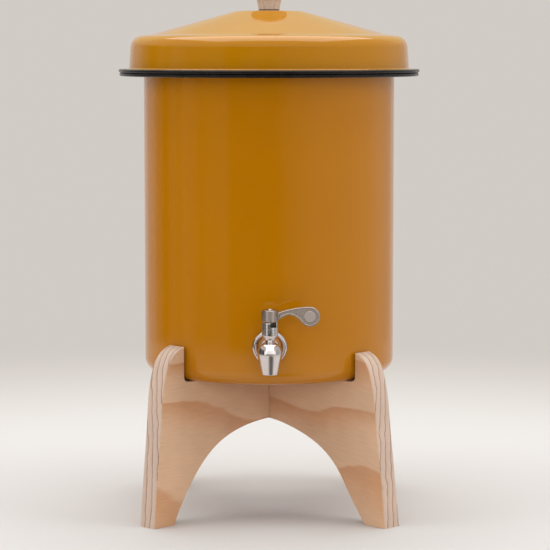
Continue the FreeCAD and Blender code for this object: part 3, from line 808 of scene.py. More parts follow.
@dataclass(frozen=True)
class SoftFinish(Finish):
    """Rubber, silicone or plastic, slightly uneven."""

    colour: Colour
    roughness: float
    spread: float = 0.06
    cloud_scale: float = 160.0
    skin_scale: float = 1800.0
    skin_depth: float = 0.02 * MM

    def paint(self, sheet: Sheet, place: NodeSocket, effects: Effects) -> None:
        """One colour with paler clouds and a fine skin."""
        cloud = effects.cloud(sheet, place, self.cloud_scale)
        paler = tuple(min(1.0, part * 1.2 + 0.004) for part in self.colour)
        colour = sheet.mix(cloud, self.colour, paler)
        rough = sheet.between(cloud, self.roughness, self.roughness + self.spread)
        end_material(sheet, colour, rough, sheet.noise(place, self.skin_scale), self.skin_depth)


class Side(Enum):
    """The two boards of the stand, by where their front leg stands."""

    LEFT = -1
    RIGHT = 1

    @property
    def word(self) -> str:
        """The side's name as it stands in other names."""
        return self.name.lower()


class Finishes:
    """Every finish of the object, built once."""

    timbers = {
        Side.LEFT: Timber(45.0),
        Side.RIGHT: Timber(-45.0, heart=(0.0, 1.8, -0.075), lean=(-0.20, 0.0)),
    }
    board_face = {"pale": (0.66, 0.425, 0.27), "warm": (0.56, 0.28, 0.135), "line": (0.48, 0.22, 0.10)}
    board_edge = {
        "pale": (0.60, 0.45, 0.36),
        "warm": (0.53, 0.37, 0.28),
        "line": (0.24, 0.12, 0.075),
        "line_share": 0.95,
        "band_start": 0.3,
        "band_edge": 0.03,
        "shake": 1.0,
    }

    def __init__(self, effects: Effects) -> None:
        """Builds the materials."""
        self.enamel = EnamelFinish(
            "mustard_enamel",
            colour=(0.46, 0.170, 0.0006),
            deep=(0.445, 0.162, 0.0005),
        ).build(effects)
        # Painted light: the lid's copy of the enamel is yellower, standing in for the tone its brightly
        # lit upper faces take.
        self.lit_lid_enamel = EnamelFinish(
            "mustard_lit_lid_enamel",
            colour=(0.455, 0.186, 0.0012),
            deep=(0.44, 0.177, 0.0010),
        ).build(effects)
        self.rim = RimFinish().build(effects)
        self.enamel_inside = EnamelFinish(
            "cream_enamel",
            colour=(0.72, 0.68, 0.58),
            deep=(0.68, 0.64, 0.54),
            roughness=0.16,
        ).build(effects)
        self.boards = {
            side: (
                PineFinish(f"pine_face_{side.word}", timber, **self.board_face).build(effects),
                PineFinish(f"pine_edge_{side.word}", timber, **self.board_edge).build(effects),
            )
            for side, timber in self.timbers.items()
        }
        self.knob = PineFinish(
            "knob_wood",
            Timber(heart=(0.0, 0.09, 0.61), spacing=3.2 * MM, sway=0.8),
            pale=(0.63, 0.53, 0.43),
            warm=(0.56, 0.43, 0.32),
            line=(0.43, 0.30, 0.21),
            roughness=0.42,
        ).build(effects)
        self.polished = SteelFinish("polished_steel", (0.72, 0.66, 0.64), 0.10, 0.05).build(effects)
        self.satin = SteelFinish("satin_steel", (0.45, 0.375, 0.325), 0.24, 0.03).build(effects)
        self.pad = SteelFinish("pad_steel", (0.55, 0.475, 0.425), 0.3, 0.04).build(effects)
        # Painted shade: near-black steel for the inside of the stop notch, which is only dark because
        # shade falls there.
        self.painted_notch_shade = SteelFinish("painted_shade_steel", (0.05, 0.045, 0.04), 0.35, 0.1).build(effects)
        # Painted reflection: the dish's steel is tinted darker and warm, as if it mirrored the mustard
        # wall.
        self.painted_dish_reflection = SteelFinish("painted_reflection_steel", (0.54, 0.28, 0.10), 0.26, 0.06).build(effects)
        self.plain = SteelFinish("plain_steel", (0.55, 0.53, 0.51), 0.28, 0.1, 0.03 * MM).build(effects)
        self.clay = ClayFinish().build(effects)
        self.silicone = SoftFinish("clear_silicone", (0.62, 0.61, 0.58), 0.42).build(effects)
        self.rubber = SoftFinish("black_rubber", (0.012, 0.012, 0.012), 0.5).build(effects)
        self.gasket = SoftFinish("dark_gasket", (0.09, 0.055, 0.035), 0.55).build(effects)
        self.plastic = SoftFinish("valve_plastic", (0.70, 0.69, 0.66), 0.38).build(effects)


# Pieces


@dataclass
class Assembly:
    """What every sub-assembly needs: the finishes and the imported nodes."""

    finishes: Finishes
    nodes: dict[str, Object]

    def add(
        self,
        name: str,
        shape: Surface,
        finishes: Sequence[Material],
        body: Body,
        slot: Slot,
        node: str,
        sharp_deg: float = 38.0,
    ) -> Object:
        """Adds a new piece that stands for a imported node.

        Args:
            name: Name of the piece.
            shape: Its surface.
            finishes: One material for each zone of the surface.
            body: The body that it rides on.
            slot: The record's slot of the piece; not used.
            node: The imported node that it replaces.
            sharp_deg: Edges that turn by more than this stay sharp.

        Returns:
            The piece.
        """
        piece = build_mesh(name, shape, finishes, sharp_deg)
        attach(piece, body.value)
        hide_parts(node)
        log.info("%s: %d faces on %s", name, len(piece.data.polygons), body.value)
        return piece

    def dress(self, finish: Material, *names: str) -> None:
        """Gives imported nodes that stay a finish."""
        for name in names:
            mesh = self.nodes[name].data
            mesh.materials.clear()
            mesh.materials.append(finish)
            log.info("%s keeps its packed shape", name)


@dataclass
class Stand(Assembly):
    """Two pine boards on edge, half-lapped to a cross."""

    thickness: float = 25 * MM
    horn_inner: float = 152.8 * MM
    foot_reach: float = 48.2 * MM
    foot_width: float = 32 * MM
    lap_height: float = 58.2 * MM
    lap_clearance: float = 0.35 * MM
    notch_fillet: float = 6.5 * MM
    leg_bulge: float = 2.2 * MM
    soft_arris: float = 1.6 * MM
    crisp_arris: float = 0.5 * MM
    corner_limit: float = 0.4
    sharp_deg: float = 50.0
    seat: float = field(init=False)

    # How far a horn rises over the seat, how wide it is, and how far its shoulder is below its tip.
    horns = {Side.LEFT: (41.5 * MM, 28 * MM, 27 * MM), Side.RIGHT: (34 * MM, 23.5 * MM, 23.5 * MM)}
    # Points of a leg: share of the height up to the shoulder, and share of the bulge.
    leg_shape = ((0.33, 0.6), (0.67, 1.0))
    # Points of a horn: share of the way across to the tip, and share of the way up.
    horn_shape = ((0.34, 0.63), (0.70, 0.895))
    # Points of an arch in millimetres: how far in from the foot's inner corner, and how high.
    arches = {
        Side.LEFT: ((18.8, 33.5), (44.2, 65.6), (70.0, 86.4), (109.6, 102.0)),
        Side.RIGHT: ((22.5, 29.0), (45.0, 61.0), (70.0, 82.0), (109.0, 98.5)),
    }

    def __post_init__(self) -> None:
        """Takes the seat's height from the vessel's foot."""
        self.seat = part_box("water_vessel")[0].z

    def half_outline(self, side: Side) -> tuple[np.ndarray, np.ndarray]:
        """Right half of a board's outer edge, and of its arch.

        The flank and the horn are one smooth curve from the foot to the horn's tip. The notch is
        two straight runs with a fillet.

        Args:
            side: Which board.

        Returns:
            The outer edge from the foot's inner corner to the seat's middle, and the arch from
            the foot's inner corner to its crown.
        """
        rise, width, shoulder = self.horns[side]
        foot_outer = self.horn_inner + self.foot_reach
        foot_inner = foot_outer - self.foot_width
        tip = self.seat + rise
        shoulder_z = tip - shoulder
        outer = self.horn_inner + width
        splay = foot_outer - outer
        leg = [
            (foot_outer - splay * share + self.leg_bulge * swell, shoulder_z * share)
            for share, swell in self.leg_shape
        ]
        horn = [(outer - width * across, shoulder_z + shoulder * up) for across, up in self.horn_shape]
        knots = [(foot_outer, 0), *leg, (outer, shoulder_z), *horn, (self.horn_inner, tip)]
        flank = smooth_curve(knots, count=90)
        cradle = (self.horn_inner, self.seat, self.notch_fillet)
        notch = bent_path([(self.horn_inner, tip, 0), cradle, (0, self.seat, 0)], steps=10)
        edge = np.vstack([[(foot_inner, 0)], flank, notch[1:]])
        crown = self.seat - self.lap_height
        inner = [(foot_inner, 0)] + [(foot_inner - inset * MM, z * MM) for inset, z in self.arches[side]]
        mirrored = [(-r, z) for r, z in reversed(inner)]
        whole = smooth_curve([*inner, (0, crown), *mirrored], count=241)
        return edge, whole[: len(whole) // 2 + 1]

    def outline(self, side: Side) -> tuple[np.ndarray, np.ndarray]:
        """The board's closed outline with its lap slot, and the arris radius at each point.

        Args:
            side: Which board.

        Returns:
            Points (u, z) counter-clockwise, and a radius for each.
        """
        edge, arch = self.half_outline(side)
        half_slot = self.thickness / 2 + self.lap_clearance
        lap_z = self.seat - self.lap_height / 2
        if side is Side.LEFT:
            edge = np.vstack([edge[edge[:, 0] > half_slot], (half_slot, self.seat), (half_slot, lap_z)])
            arch_right = arch
        else:
            foot = arch[arch[:, 0] > half_slot]
            cut_z = float(np.interp(-half_slot, -arch[:, 0], arch[:, 1]))
            arch_right = np.vstack([foot, (half_slot, cut_z), (half_slot, lap_z)])
        mirror = np.array([-1.0, 1.0])
        loop = [edge, (edge * mirror)[::-1], (arch_right * mirror)[1:], arch_right[::-1][:-1]]
        points = np.vstack(loop)
        gap = np.linalg.norm(points - np.roll(points, 1, axis=0), axis=1)
        points = points[gap > SAME_PLACE]
        reach, height = np.abs(points[:, 0]), points[:, 1]
        on_edge = (reach > self.horn_inner) | (height < lap_z - SAME_PLACE)
        on_slot = np.abs(reach - half_slot) < SAME_PLACE
        soft = on_edge & (height > self.soft_arris) & ~on_slot
        radius = np.where(soft, self.soft_arris, self.crisp_arris)
        return points, radius

    def board(self, side: Side) -> Surface:
        """One board as rings of its outline.

        Each ring is the outline drawn in by r(1 - cos a) and set at (half - r) + r sin a across
        the thickness, for a from 0 to a quarter turn. The last ring carries the flat face, and
        the half of the arris next to it takes the face's finish. At a corner the way in is the
        sum of the two normals over 1 + cos(turn), which the corner limit keeps from growing long.

        Args:
            side: Which board.

        Returns:
            The surface, with zone 0 on the faces and zone 1 on the sawn edges.
        """
        points, radius = self.outline(side)
        before = points - np.roll(points, 1, axis=0)
        after = np.roll(points, -1, axis=0) - points
        before /= np.linalg.norm(before, axis=1)[:, None]
        after /= np.linalg.norm(after, axis=1)[:, None]
        left = np.column_stack([-(before + after)[:, 1], (before + after)[:, 0]])
        share = 1 + (before * after).sum(1)
        inward = left / np.maximum(share, self.corner_limit)[:, None]
        half = self.thickness / 2
        arris = [0, 0, 1, 1]
        rings = []
        for angle in np.linspace(0, QUARTER_TURN, len(arris) + 1):
            drawn = points + inward * (radius * (1 - math.cos(angle)))[:, None]
            rings.append((drawn, half - radius + radius * math.sin(angle)))
        front = [np.column_stack([p[:, 0], -v, p[:, 1]]) for p, v in rings]
        back = [np.column_stack([p[:, 0], v, p[:, 1]]) for p, v in rings]
        stack = np.stack([*front[::-1], *back])
        sides = grid(stack, False, True, [*arris, 1, *arris[::-1]])
        count = len(points)
        last = (len(stack) - 1) * count
        sides.faces += [tuple(range(count)), tuple(last + i for i in range(count))[::-1]]
        sides.zones += [0, 0]
        return sides.turned_about_z(math.radians(-45 * side.value))

    def build(self) -> None:
        """Adds both boards."""
        for side, coats in self.finishes.boards.items():
            name, node = f"pine_board_{side.word}", f"stand_board_{side.word}"
            self.add(name, self.board(side), coats, Body.STAND, Slot.PINE, node, self.sharp_deg)


@dataclass
class Crock(Assembly):
    """The enamelled vessel and the clay pot that hangs in it."""

    wall: float = 1.4 * MM
    corner: float = 15 * MM
    bead: float = 2.1 * MM
    rim_bend: float = 2.4 * MM
    radius: float = 150 * MM
    segments: int = 256
    pot_gap: float = 5.6 * MM
    pot_taper: float = 25 * MM
    pot_wall: float = 13 * MM
    pot_floor: float = 15 * MM
    pot_corner: float = 28 * MM
    lip_round: float = 5 * MM
    neck_round: float = 3 * MM
    pot_segments: int = 160

    def vessel(self) -> Surface:
        """The pressed vessel: flat bottom, straight wall and a flange with a rolled bead.

        Returns:
            The surface, with zone 0 outside, zone 1 inside and zone 2 on the bead.
        """
        low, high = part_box("water_vessel")
        bore = self.radius - self.wall
        path = bent_path(
            [
                (0, low.z + self.wall, 0),
                (bore, low.z + self.wall, self.corner - self.wall),
                (bore, high.z, self.rim_bend + self.wall),
                (high.x - self.bead, high.z, 0),
            ],
            steps=14,
        )
        section, zones = pressed_sheet(path, self.wall, self.bead)
        # The path runs along the inside, so the upper face is the inner one.
        swapped = [(1, 0, 2)[zone] for zone in zones]
        return turned(section, self.segments, swapped)

    def pot(self) -> Surface:
        """The tapered clay cup with its lip."""
        low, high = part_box("filter_pot")
        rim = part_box("water_vessel")[1].z
        top = self.radius - self.wall - self.pot_gap
        foot = top - self.pot_taper
        section = bent_path(
            [
                (0, low.z, 0),
                (foot, low.z, self.pot_corner),
                (top, rim, self.neck_round),
                (high.x, rim, self.lip_round),
                (high.x, high.z, self.lip_round),
                (top - self.pot_wall, high.z, self.lip_round),
                (foot - self.pot_wall, low.z + self.pot_floor, self.pot_corner - self.pot_wall),
                (0, low.z + self.pot_floor, 0),
            ],
            steps=10,
        )
        return turned(section, self.pot_segments)

    def build(self) -> None:
        """Adds the vessel and the pot."""
        coats = [self.finishes.enamel, self.finishes.enamel_inside, self.finishes.rim]
        clay = [self.finishes.clay]
        self.add("enamel_vessel", self.vessel(), coats, Body.VESSEL, Slot.ENAMEL, "water_vessel")
        self.add("clay_pot", self.pot(), clay, Body.FILTER, Slot.CLAY, "filter_pot")


@dataclass
class Lid(Assembly):
    """The pressed lid, its knob and the knob's fixings."""

    wall: float = 1.2 * MM
    bead: float = 2.1 * MM
    hole: float = 2.75 * MM
    skirt_radius: float = 167.5 * MM
    skirt_height: float = 37.8 * MM
    skirt_taper: float = 2.6 * MM
    foot_bend: float = 2.2 * MM
    shoulder_bend: float = 15 * MM
    land_width: float = 24 * MM
    land_rise: float = 3.2 * MM
    land_bend: float = 80 * MM
    crown_radius: float = 38.5 * MM
    crown_bend: float = 45 * MM
    knob_base: float = 12.7 * MM
    knob_flare: float = 0.7 * MM
    knob_waist: float = 14.8 * MM
    knob_waist_height: float = 11 * MM
    knob_head: float = 24 * MM
    knob_head_edge: float = 21 * MM
    knob_neck_share: float = 0.58
    segments: int = 256
    knob_segments: int = 128

    # Points of the knob's dome: share of the head's radius, and share of the dome's height.
    dome_shape = ((0.93, 0.48), (0.62, 0.86))

    def shell(self) -> Surface:
        """The pressed cone with its skirt, flange and bead.

        Returns:
            The surface, with zone 0 outside, zone 1 inside and zone 2 on the bead.
        """
        low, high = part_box("lid_shell")
        rim_top = low.z + 2 * self.bead
        skirt_top = rim_top + self.skirt_height
        top_radius = self.skirt_radius - self.skirt_taper
        path = bent_path(
            [
                (self.hole, high.z, 0),
                (self.crown_radius, high.z, self.crown_bend),
                (top_radius - self.land_width, skirt_top + self.land_rise, self.land_bend),
                (top_radius, skirt_top, self.shoulder_bend),
                (self.skirt_radius, rim_top, self.foot_bend),
                (high.x - self.bead, rim_top, 0),
            ],
            steps=14,
        )
        section, zones = pressed_sheet(path, self.wall, self.bead)
        return turned(section, self.segments, zones)

    def knob(self) -> Surface:
        """The turned knob: a flared stem under a low domed head."""
        low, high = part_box("lid_knob")
        waist = low.z + self.knob_waist_height
        edge = low.z + self.knob_head_edge
        neck_z = waist + (edge - waist) * self.knob_neck_share
        flank = smooth_curve(
            [
                (self.knob_base, low.z),
                (self.knob_base + self.knob_flare, (low.z + waist) / 2),
                (self.knob_waist, waist),
                ((self.knob_waist + self.knob_head) / 2, neck_z),
                (self.knob_head, edge),
            ],
            count=50,
        )
        rise = high.z - edge
        shape = [(self.knob_head * out, edge + rise * up) for out, up in self.dome_shape]
        dome = smooth_curve([(self.knob_head, edge), *shape, (0, high.z)], count=50, end=(-1, 0))
        return turned(np.vstack([[(0, low.z)], flank, dome[1:]]), self.knob_segments)

    def build(self) -> None:
        """Adds the lid and the knob, and dresses the knob's fixings."""
        finishes = self.finishes
        coats = [finishes.lit_lid_enamel, finishes.enamel_inside, finishes.rim]
        wood = [finishes.knob]
        self.add("lit_lid_enamel", self.shell(), coats, Body.LID, Slot.ENAMEL, "lid_shell")
        self.add("turned_knob", self.knob(), wood, Body.LID, Slot.KNOB_WOOD, "lid_knob")
        self.dress(finishes.gasket, "knob_gasket")
        self.dress(finishes.plain, "knob_washer", "knob_screw")


@dataclass
class Tap(Assembly):
    """The lever tap: bell spout, barrel with a stop notch, escutcheon, lever and valve."""

    shank_radius: float = 8 * MM
    shank_bore: float = 5 * MM
    shank_inside: float = 20 * MM
    vessel_radius: float = 150 * MM
    vessel_wall: float = 1.4 * MM
    gasket: float = 2 * MM
    escutcheon_radius: float = 20 * MM
    escutcheon_band: float = 4.2 * MM
    escutcheon_depth: float = 4 * MM
    escutcheon_sheet: float = 1 * MM
    escutcheon_slope: float = 2.6 * MM
    escutcheon_gap: float = 0.8 * MM
    dish_bend: float = 1.5 * MM
    dish_back_shift: float = 0.8 * MM
    dish_back_bend: float = 1 * MM
    band_lip: float = 1.3 * MM
    band_lip_drop: float = 0.7 * MM
    band_lip_bend: float = 0.8 * MM
    band_bend: float = 2 * MM
    band_chamfer: float = 1.5 * MM
    band_chamfer_drop: float = 1.8 * MM
    band_edge_bend: float = 1.6 * MM
    band_back_bend: float = 0.5 * MM
    band_back_shift: float = 0.4 * MM
    reflection_zone_margin: float = 0.3 * MM
    collar_radius: float = 10.5 * MM
    collar_length: float = 3.5 * MM
    collar_root_round: float = 0.2 * MM
    collar_round: float = 0.5 * MM
    neck_radius: float = 8.6 * MM
    neck_buried: float = 9.2 * MM
    mouth_drop: float = 27.3 * MM
    mouth_radius: float = 9.7 * MM
    mouth_lip: float = 0.9 * MM
    bell_low_radius: float = 12.5 * MM
    bell_low_drop: float = 13 * MM
    bell_radius: float = 13.6 * MM
    bell_shoulder_radius: float = 10.9 * MM
    bell_shoulder_rise: float = 6 * MM
    outlet: float = 8 * MM
    chamber: float = 7.05 * MM
    chamber_top: float = 6.45 * MM
    retainer_drop: float = 15.25 * MM
    stem_bore: float = 3.05 * MM
    stem_floor: float = 18.7 * MM
    barrel_bore: float = 5.25 * MM
    waist_rise: float = 9.8 * MM
    waist_radius: float = 5 * MM
    barrel_foot: float = 17.4 * MM
    barrel_foot_round: float = 1.2 * MM
    barrel_rise: float = 32.1 * MM
    barrel_radius: float = 9.4 * MM
    barrel_top_round: float = 0.4 * MM
    notch_inner: float = 6.2 * MM
    notch_depth: float = 4.9 * MM
    notch_start_deg: float = -86.2
    notch_end_deg: float = 26.2
    notch_margin: float = 0.6 * MM
    notch_columns: int = 49
    barrel_columns: int = 97
    hub_radius: float = 9.5 * MM
    hub_foot: float = 33.5 * MM
    hub_height: float = 13.2 * MM
    hub_edge: float = 0.9 * MM
    hub_foot_round: float = 0.4 * MM
    lever_thickness: float = 5.2 * MM
    lever_edge: float = 0.7 * MM
    lever_rim: float = 1.5 * MM
    lever_recess: float = 0.7 * MM
    recess_draft: float = 0.1 * MM
    recess_round: float = 0.12 * MM
    recess_corner: float = 0.25 * MM
    recess_support: float = 0.55 * MM
    spine_start: float = 2 * MM
    spine_root_drop: float = 6.5 * MM
    spine_middle_drop: float = 2.6 * MM
    paddle_out: float = 45.5 * MM
    paddle_drop: float = 7.8 * MM
    paddle_radius: float = 11.3 * MM
    pad_radius: float = 6.4 * MM
    pad_rise: float = 0.3 * MM
    pad_round: float = 0.25 * MM
    arm_top_bend: float = 102 * MM
    arm_root_bury: float = 1 * MM
    arm_root_depth: float = 12.6 * MM
    arm_root_slope_deg: float = 34.0
    arm_middle_out: float = 22.5 * MM
    arm_middle_drop: float = 5.9 * MM
    arm_lower_tangent_deg: float = 222.0
    shank_segments: int = 96
    escutcheon_segments: int = 160
    hub_segments: int = 128
    pad_segments: int = 96
    axis_y: float = field(init=False)
    shank_z: float = field(init=False)

    def __post_init__(self) -> None:
        """Takes the tap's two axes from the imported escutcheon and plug."""
        low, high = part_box("tap_escutcheon")
        self.shank_z = (low.z + high.z) / 2
        plug_low, plug_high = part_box("valve_plug")
        self.axis_y = (plug_low.y + plug_high.y) / 2

    def upright(self) -> Surface:
        """The bell, waist and barrel, with their bores and the stop notch.

        The profile is turned about the tap's own axis. Between the notch's two angles its leg
        over the barrel's edge is drawn in along the notch's floor and back wall instead. Two
        columns stand at each of the two angles, one of each kind, and close the notch's ends.

        Returns:
            The surface, with zone 1 inside the notch, which is painted near-black as shade.
        """
        z = self.shank_z
        mouth_z = z - self.mouth_drop
        top = z + self.barrel_rise
        notch_z = top - self.notch_depth
        lip = bent_path(
            [
                (self.mouth_radius - 2 * self.mouth_lip, mouth_z, 0),
                (self.mouth_radius, mouth_z, self.mouth_lip),
                (self.mouth_radius, mouth_z + 2 * self.mouth_lip, 0),
            ],
            steps=6,
        )[:-1]
        bell = smooth_curve(
            [
                (self.mouth_radius, mouth_z + self.mouth_lip),
                (self.bell_low_radius, z - self.bell_low_drop),
                (self.bell_radius, z),
                (self.bell_shoulder_radius, z + self.bell_shoulder_rise),
                (self.waist_radius, z + self.waist_rise),
            ],
            count=80,
        )
        barrel = bent_path(
            [
                (self.waist_radius, z + self.waist_rise, 0),
                (self.barrel_radius, z + self.barrel_foot, self.barrel_foot_round),
                (self.barrel_radius, notch_z, 0),
            ]
        )
        whole_leg = bent_path(
            [
                (self.barrel_radius, notch_z, 0),
                (self.barrel_radius, top, self.barrel_top_round),
                (self.notch_inner, top, 0),
            ],
            steps=6,
        )
        corner = len(whole_leg) // 2
        down = np.linspace((self.barrel_radius, notch_z), (self.notch_inner, notch_z), corner + 1)
        up = np.linspace((self.notch_inner, notch_z), (self.notch_inner, top), len(whole_leg) - corner)
        cut_leg = np.vstack([down, up[1:]])
        bores = bent_path(
            [
                (self.barrel_bore, top, 0),
                (self.barrel_bore, z + self.stem_floor, 0),
                (self.stem_bore, z + self.stem_floor, 0),
                (self.stem_bore, z + self.chamber_top, 0),
                (self.chamber, z + self.chamber_top, 0),
                (self.chamber, z - self.retainer_drop, 0),
                (self.outlet, z - self.retainer_drop, 0),
                (self.outlet, mouth_z, 0),
            ]
        )
        sections = [np.vstack([lip, bell, barrel[1:], leg[1:], bores]) for leg in (whole_leg, cut_leg)]
        start, end = math.radians(self.notch_start_deg), math.radians(self.notch_end_deg)
        inside = np.linspace(start, end, self.notch_columns)
        outside = np.linspace(end, start + FULL_TURN, self.barrel_columns)
        angles = np.concatenate([inside, outside])
        columns = np.stack([sections[1]] * len(inside) + [sections[0]] * len(outside), 1)
        r, height = columns[..., 0], columns[..., 1]
        points = np.stack([r * np.cos(angles), r * np.sin(angles) + self.axis_y, height], -1)
        shape = grid(points, True, True)
        x, y, height = shape.corners[np.array(shape.faces)].mean(1).T
        reach = np.hypot(x, y - self.axis_y)
        # A face's middle lies a little inside the arc that its corners stand on.
        chord, skin = 0.1 * MM, 0.01 * MM
        in_notch = (reach > self.notch_inner - chord) & (reach < self.barrel_radius - self.notch_margin)
        in_notch &= (height > notch_z - skin) & (height < top - skin)
        # Faces in the notch take the steel that carries the painted shade.
        shape.zones = in_notch.astype(int).tolist()
        return shape

    def shank(self) -> Surface:
        """The bored shank, its collar and the neck that runs into the bell."""
        inner = self.vessel_radius - self.vessel_wall - self.shank_inside
        back = self.vessel_radius + self.gasket + self.escutcheon_sheet
        end = -self.axis_y - self.neck_buried
        section = bent_path(
            [
                (self.shank_bore, inner, 0),
                (self.shank_radius, inner, 0),
                (self.shank_radius, back, 0),
                (self.collar_radius, back, self.collar_root_round),
                (self.collar_radius, back + self.collar_length, self.collar_round),
                (self.neck_radius, back + self.collar_length, 0),
                (self.neck_radius, end, 0),
                (self.shank_bore, end, 0),
            ],
            steps=4,
            support=0.2 * MM,
        )
        return turned(section, self.shank_segments).laid_forward().moved(z=self.shank_z)

    def escutcheon(self) -> Surface:
        """The dished trim ring: a rounded outer band and a flat dish that slopes up to it.

        Returns:
            The surface, with zone 1 on the dish, which carries a painted reflection of the mustard wall.
        """
        radius = self.escutcheon_radius
        back = self.vessel_radius + self.gasket
        band = back + self.escutcheon_depth
        band_inner = radius - self.escutcheon_band
        dish = band_inner - self.escutcheon_slope
        rim_back = self.vessel_radius + self.escutcheon_gap
        sheet = self.escutcheon_sheet
        hidden = band - sheet
        section = bent_path(
            [
                (self.shank_radius, back + sheet, 0),
                (dish, back + sheet, self.dish_bend),
                (band_inner, band - self.band_lip_drop, self.band_lip_bend),
                (band_inner + self.band_lip, band, self.band_bend),
                (radius - self.band_chamfer, band, self.band_bend),
                (radius, band - self.band_chamfer_drop, self.band_edge_bend),
                (radius, rim_back, 0),
                (radius - sheet, rim_back, 0),
                (radius - sheet, hidden, self.band_back_bend),
                (band_inner + self.band_back_shift, hidden, self.band_back_bend),
                (dish + self.dish_back_shift, back, self.dish_back_bend),
                (self.shank_radius, back, 0),
            ],
            steps=7,
            support=0.1 * MM,
        )
        # Zone 1, the dish, takes the steel with the painted reflection.
        zones = (section[:, 0] < band_inner - self.reflection_zone_margin).astype(int)
        ring = turned(section, self.escutcheon_segments, zones)
        return ring.laid_forward().moved(z=self.shank_z)

    @property
    def hub_top(self) -> float:
        """Height of the hub's flat top."""
        return self.shank_z + self.hub_foot + self.hub_height

    def lever_edge_path(self) -> np.ndarray:
        """The lever's outline: curved underside, round paddle, long upper arc, root.

        The upper arc meets the paddle at its top, and both stand over the paddle's centre.

        Returns:
            Points (x, z) of the closed outline.
        """
        hub_top = self.hub_top
        cx, cz = self.paddle_out, hub_top - self.paddle_drop
        low = math.radians(self.arm_lower_tangent_deg)
        bend_z = cz + self.paddle_radius - self.arm_top_bend
        under_touch = (cx + self.paddle_radius * math.cos(low), cz + self.paddle_radius * math.sin(low))
        root_x = self.hub_radius - self.arm_root_bury
        lean = math.asin((cx - root_x) / self.arm_top_bend)
        root_low = (root_x, hub_top - self.arm_root_depth)
        slope = math.radians(self.arm_root_slope_deg)
        under = smooth_curve(
            [root_low, (self.arm_middle_out, hub_top - self.arm_middle_drop), under_touch],
            count=60,
            start=(math.cos(slope), math.sin(slope)),
            end=(-math.sin(low), math.cos(low)),
        )
        around = arc_points((cx, cz), self.paddle_radius, low - FULL_TURN, QUARTER_TURN, count=90)
        top = arc_points((cx, bend_z), self.arm_top_bend, QUARTER_TURN, QUARTER_TURN + lean, count=40)
        root = np.linspace(top[-1], root_low, num=12)
        return np.vstack([under[:-1], around, top[1:-1], root[:-1]])

    def lever_plate(self) -> Surface:
        """The arm and paddle, with a raised rim round a shallow recess on each side.

        The edge path is drawn in by d along its normal and set at y for each step (d, y) of one
        section, which runs from the recess over the rim to the outer edge. The first and last
        rows gather on the spine, a line inside the outline.

        Returns:
            The surface.
        """
        edge = self.lever_edge_path()
        inward = -path_normals(edge, closed=True)
        half = self.lever_thickness / 2
        floor = half - self.lever_recess
        wall = [
            (self.lever_rim + self.recess_support, floor),
            (self.lever_rim + self.recess_corner, floor),
            (self.lever_rim, floor + self.recess_round),
            (self.lever_rim - self.recess_draft, half),
        ]
        rounding = [
            (self.lever_edge * (1 - math.sin(a)), half - self.lever_edge * (1 - math.cos(a)))
            for a in np.linspace(0, QUARTER_TURN, 6)
        ]
        section = wall + rounding
        spine_x = np.clip(edge[:, 0], self.hub_radius + self.spine_start, self.paddle_out)
        knots_x = [self.hub_radius, self.arm_middle_out, self.paddle_out]
        drops = np.array([self.spine_root_drop, self.spine_middle_drop, self.paddle_drop])
        spine = np.column_stack([spine_x, np.interp(spine_x, knots_x, self.hub_top - drops)])
        lines = [(spine, floor)] + [(edge + inward * d, y) for d, y in section]
        right = [np.column_stack([line[:, 0], np.full(len(line), y), line[:, 1]]) for line, y in lines]
        left = [row * (1, -1, 1) for row in right]
        return grid(np.stack([*left, *right[::-1]]), False, True).moved(y=self.axis_y)

    def hub(self) -> Surface:
        """The lever's hub, a drum with a rounded upper edge."""
        foot, top = self.shank_z + self.hub_foot, self.hub_top
        section = bent_path(
            [
                (0, foot, 0),
                (self.hub_radius, foot, self.hub_foot_round),
                (self.hub_radius, top, self.hub_edge),
                (0, top, 0),
            ],
            steps=6,
            support=0.4 * MM,
        )
        return turned(section, self.hub_segments).moved(y=self.axis_y)

    def pad(self) -> Surface:
        """The low round pad on both sides of the paddle, one disc in zone 1."""
        face = self.lever_thickness / 2 - self.lever_recess + self.pad_rise
        section = bent_path(
            [
                (0, -face, 0),
                (self.pad_radius, -face, self.pad_round),
                (self.pad_radius, face, self.pad_round),
                (0, face, 0),
            ],
            steps=4,
            support=0.2 * MM,
        )
        disc = turned(section, self.pad_segments, [1] * len(section)).laid_forward()
        return disc.moved(x=self.paddle_out, y=self.axis_y, z=self.hub_top - self.paddle_drop)

    def lever(self) -> Surface:
        """The hub, the arm with its paddle, and the pad."""
        return joined(self.hub(), self.lever_plate(), self.pad())

    def build(self) -> None:
        """Adds the tap's shaped pieces and dresses its small ones."""
        finishes = self.finishes
        body = joined(self.upright(), self.shank())
        # The notch's coat is painted shade, not a blackened finish.
        body_coats_painted_shade = [finishes.polished, finishes.painted_notch_shade]
        # The dish's second coat is a painted reflection of the mustard wall.
        ring_coats_painted_reflection = [finishes.polished, finishes.painted_dish_reflection]
        pale_pad = [finishes.satin, finishes.pad]
        ring, lever, steel = self.escutcheon(), self.lever(), Slot.TAP_STEEL
        self.add("tap_casting", body, body_coats_painted_shade, Body.VESSEL, steel, "tap_body", sharp_deg=30.0)
        self.add("tap_trim_ring", ring, ring_coats_painted_reflection, Body.VESSEL, steel, "tap_escutcheon", sharp_deg=40.0)
        self.add("tap_handle", lever, pale_pad, Body.LEVER, steel, "tap_lever", sharp_deg=32.0)
        self.dress(finishes.polished, "lever_screw")
        self.dress(finishes.plain, "tap_washer", "tap_nut", "gland_ring", "stop_pin")
        self.dress(finishes.plain, "valve_stem", "plug_retainer")
        self.dress(finishes.silicone, "outer_gasket", "inner_gasket")
        self.dress(finishes.rubber, "stem_o_rings")
        self.dress(finishes.plastic, "valve_seat", "valve_plug")


# Stage


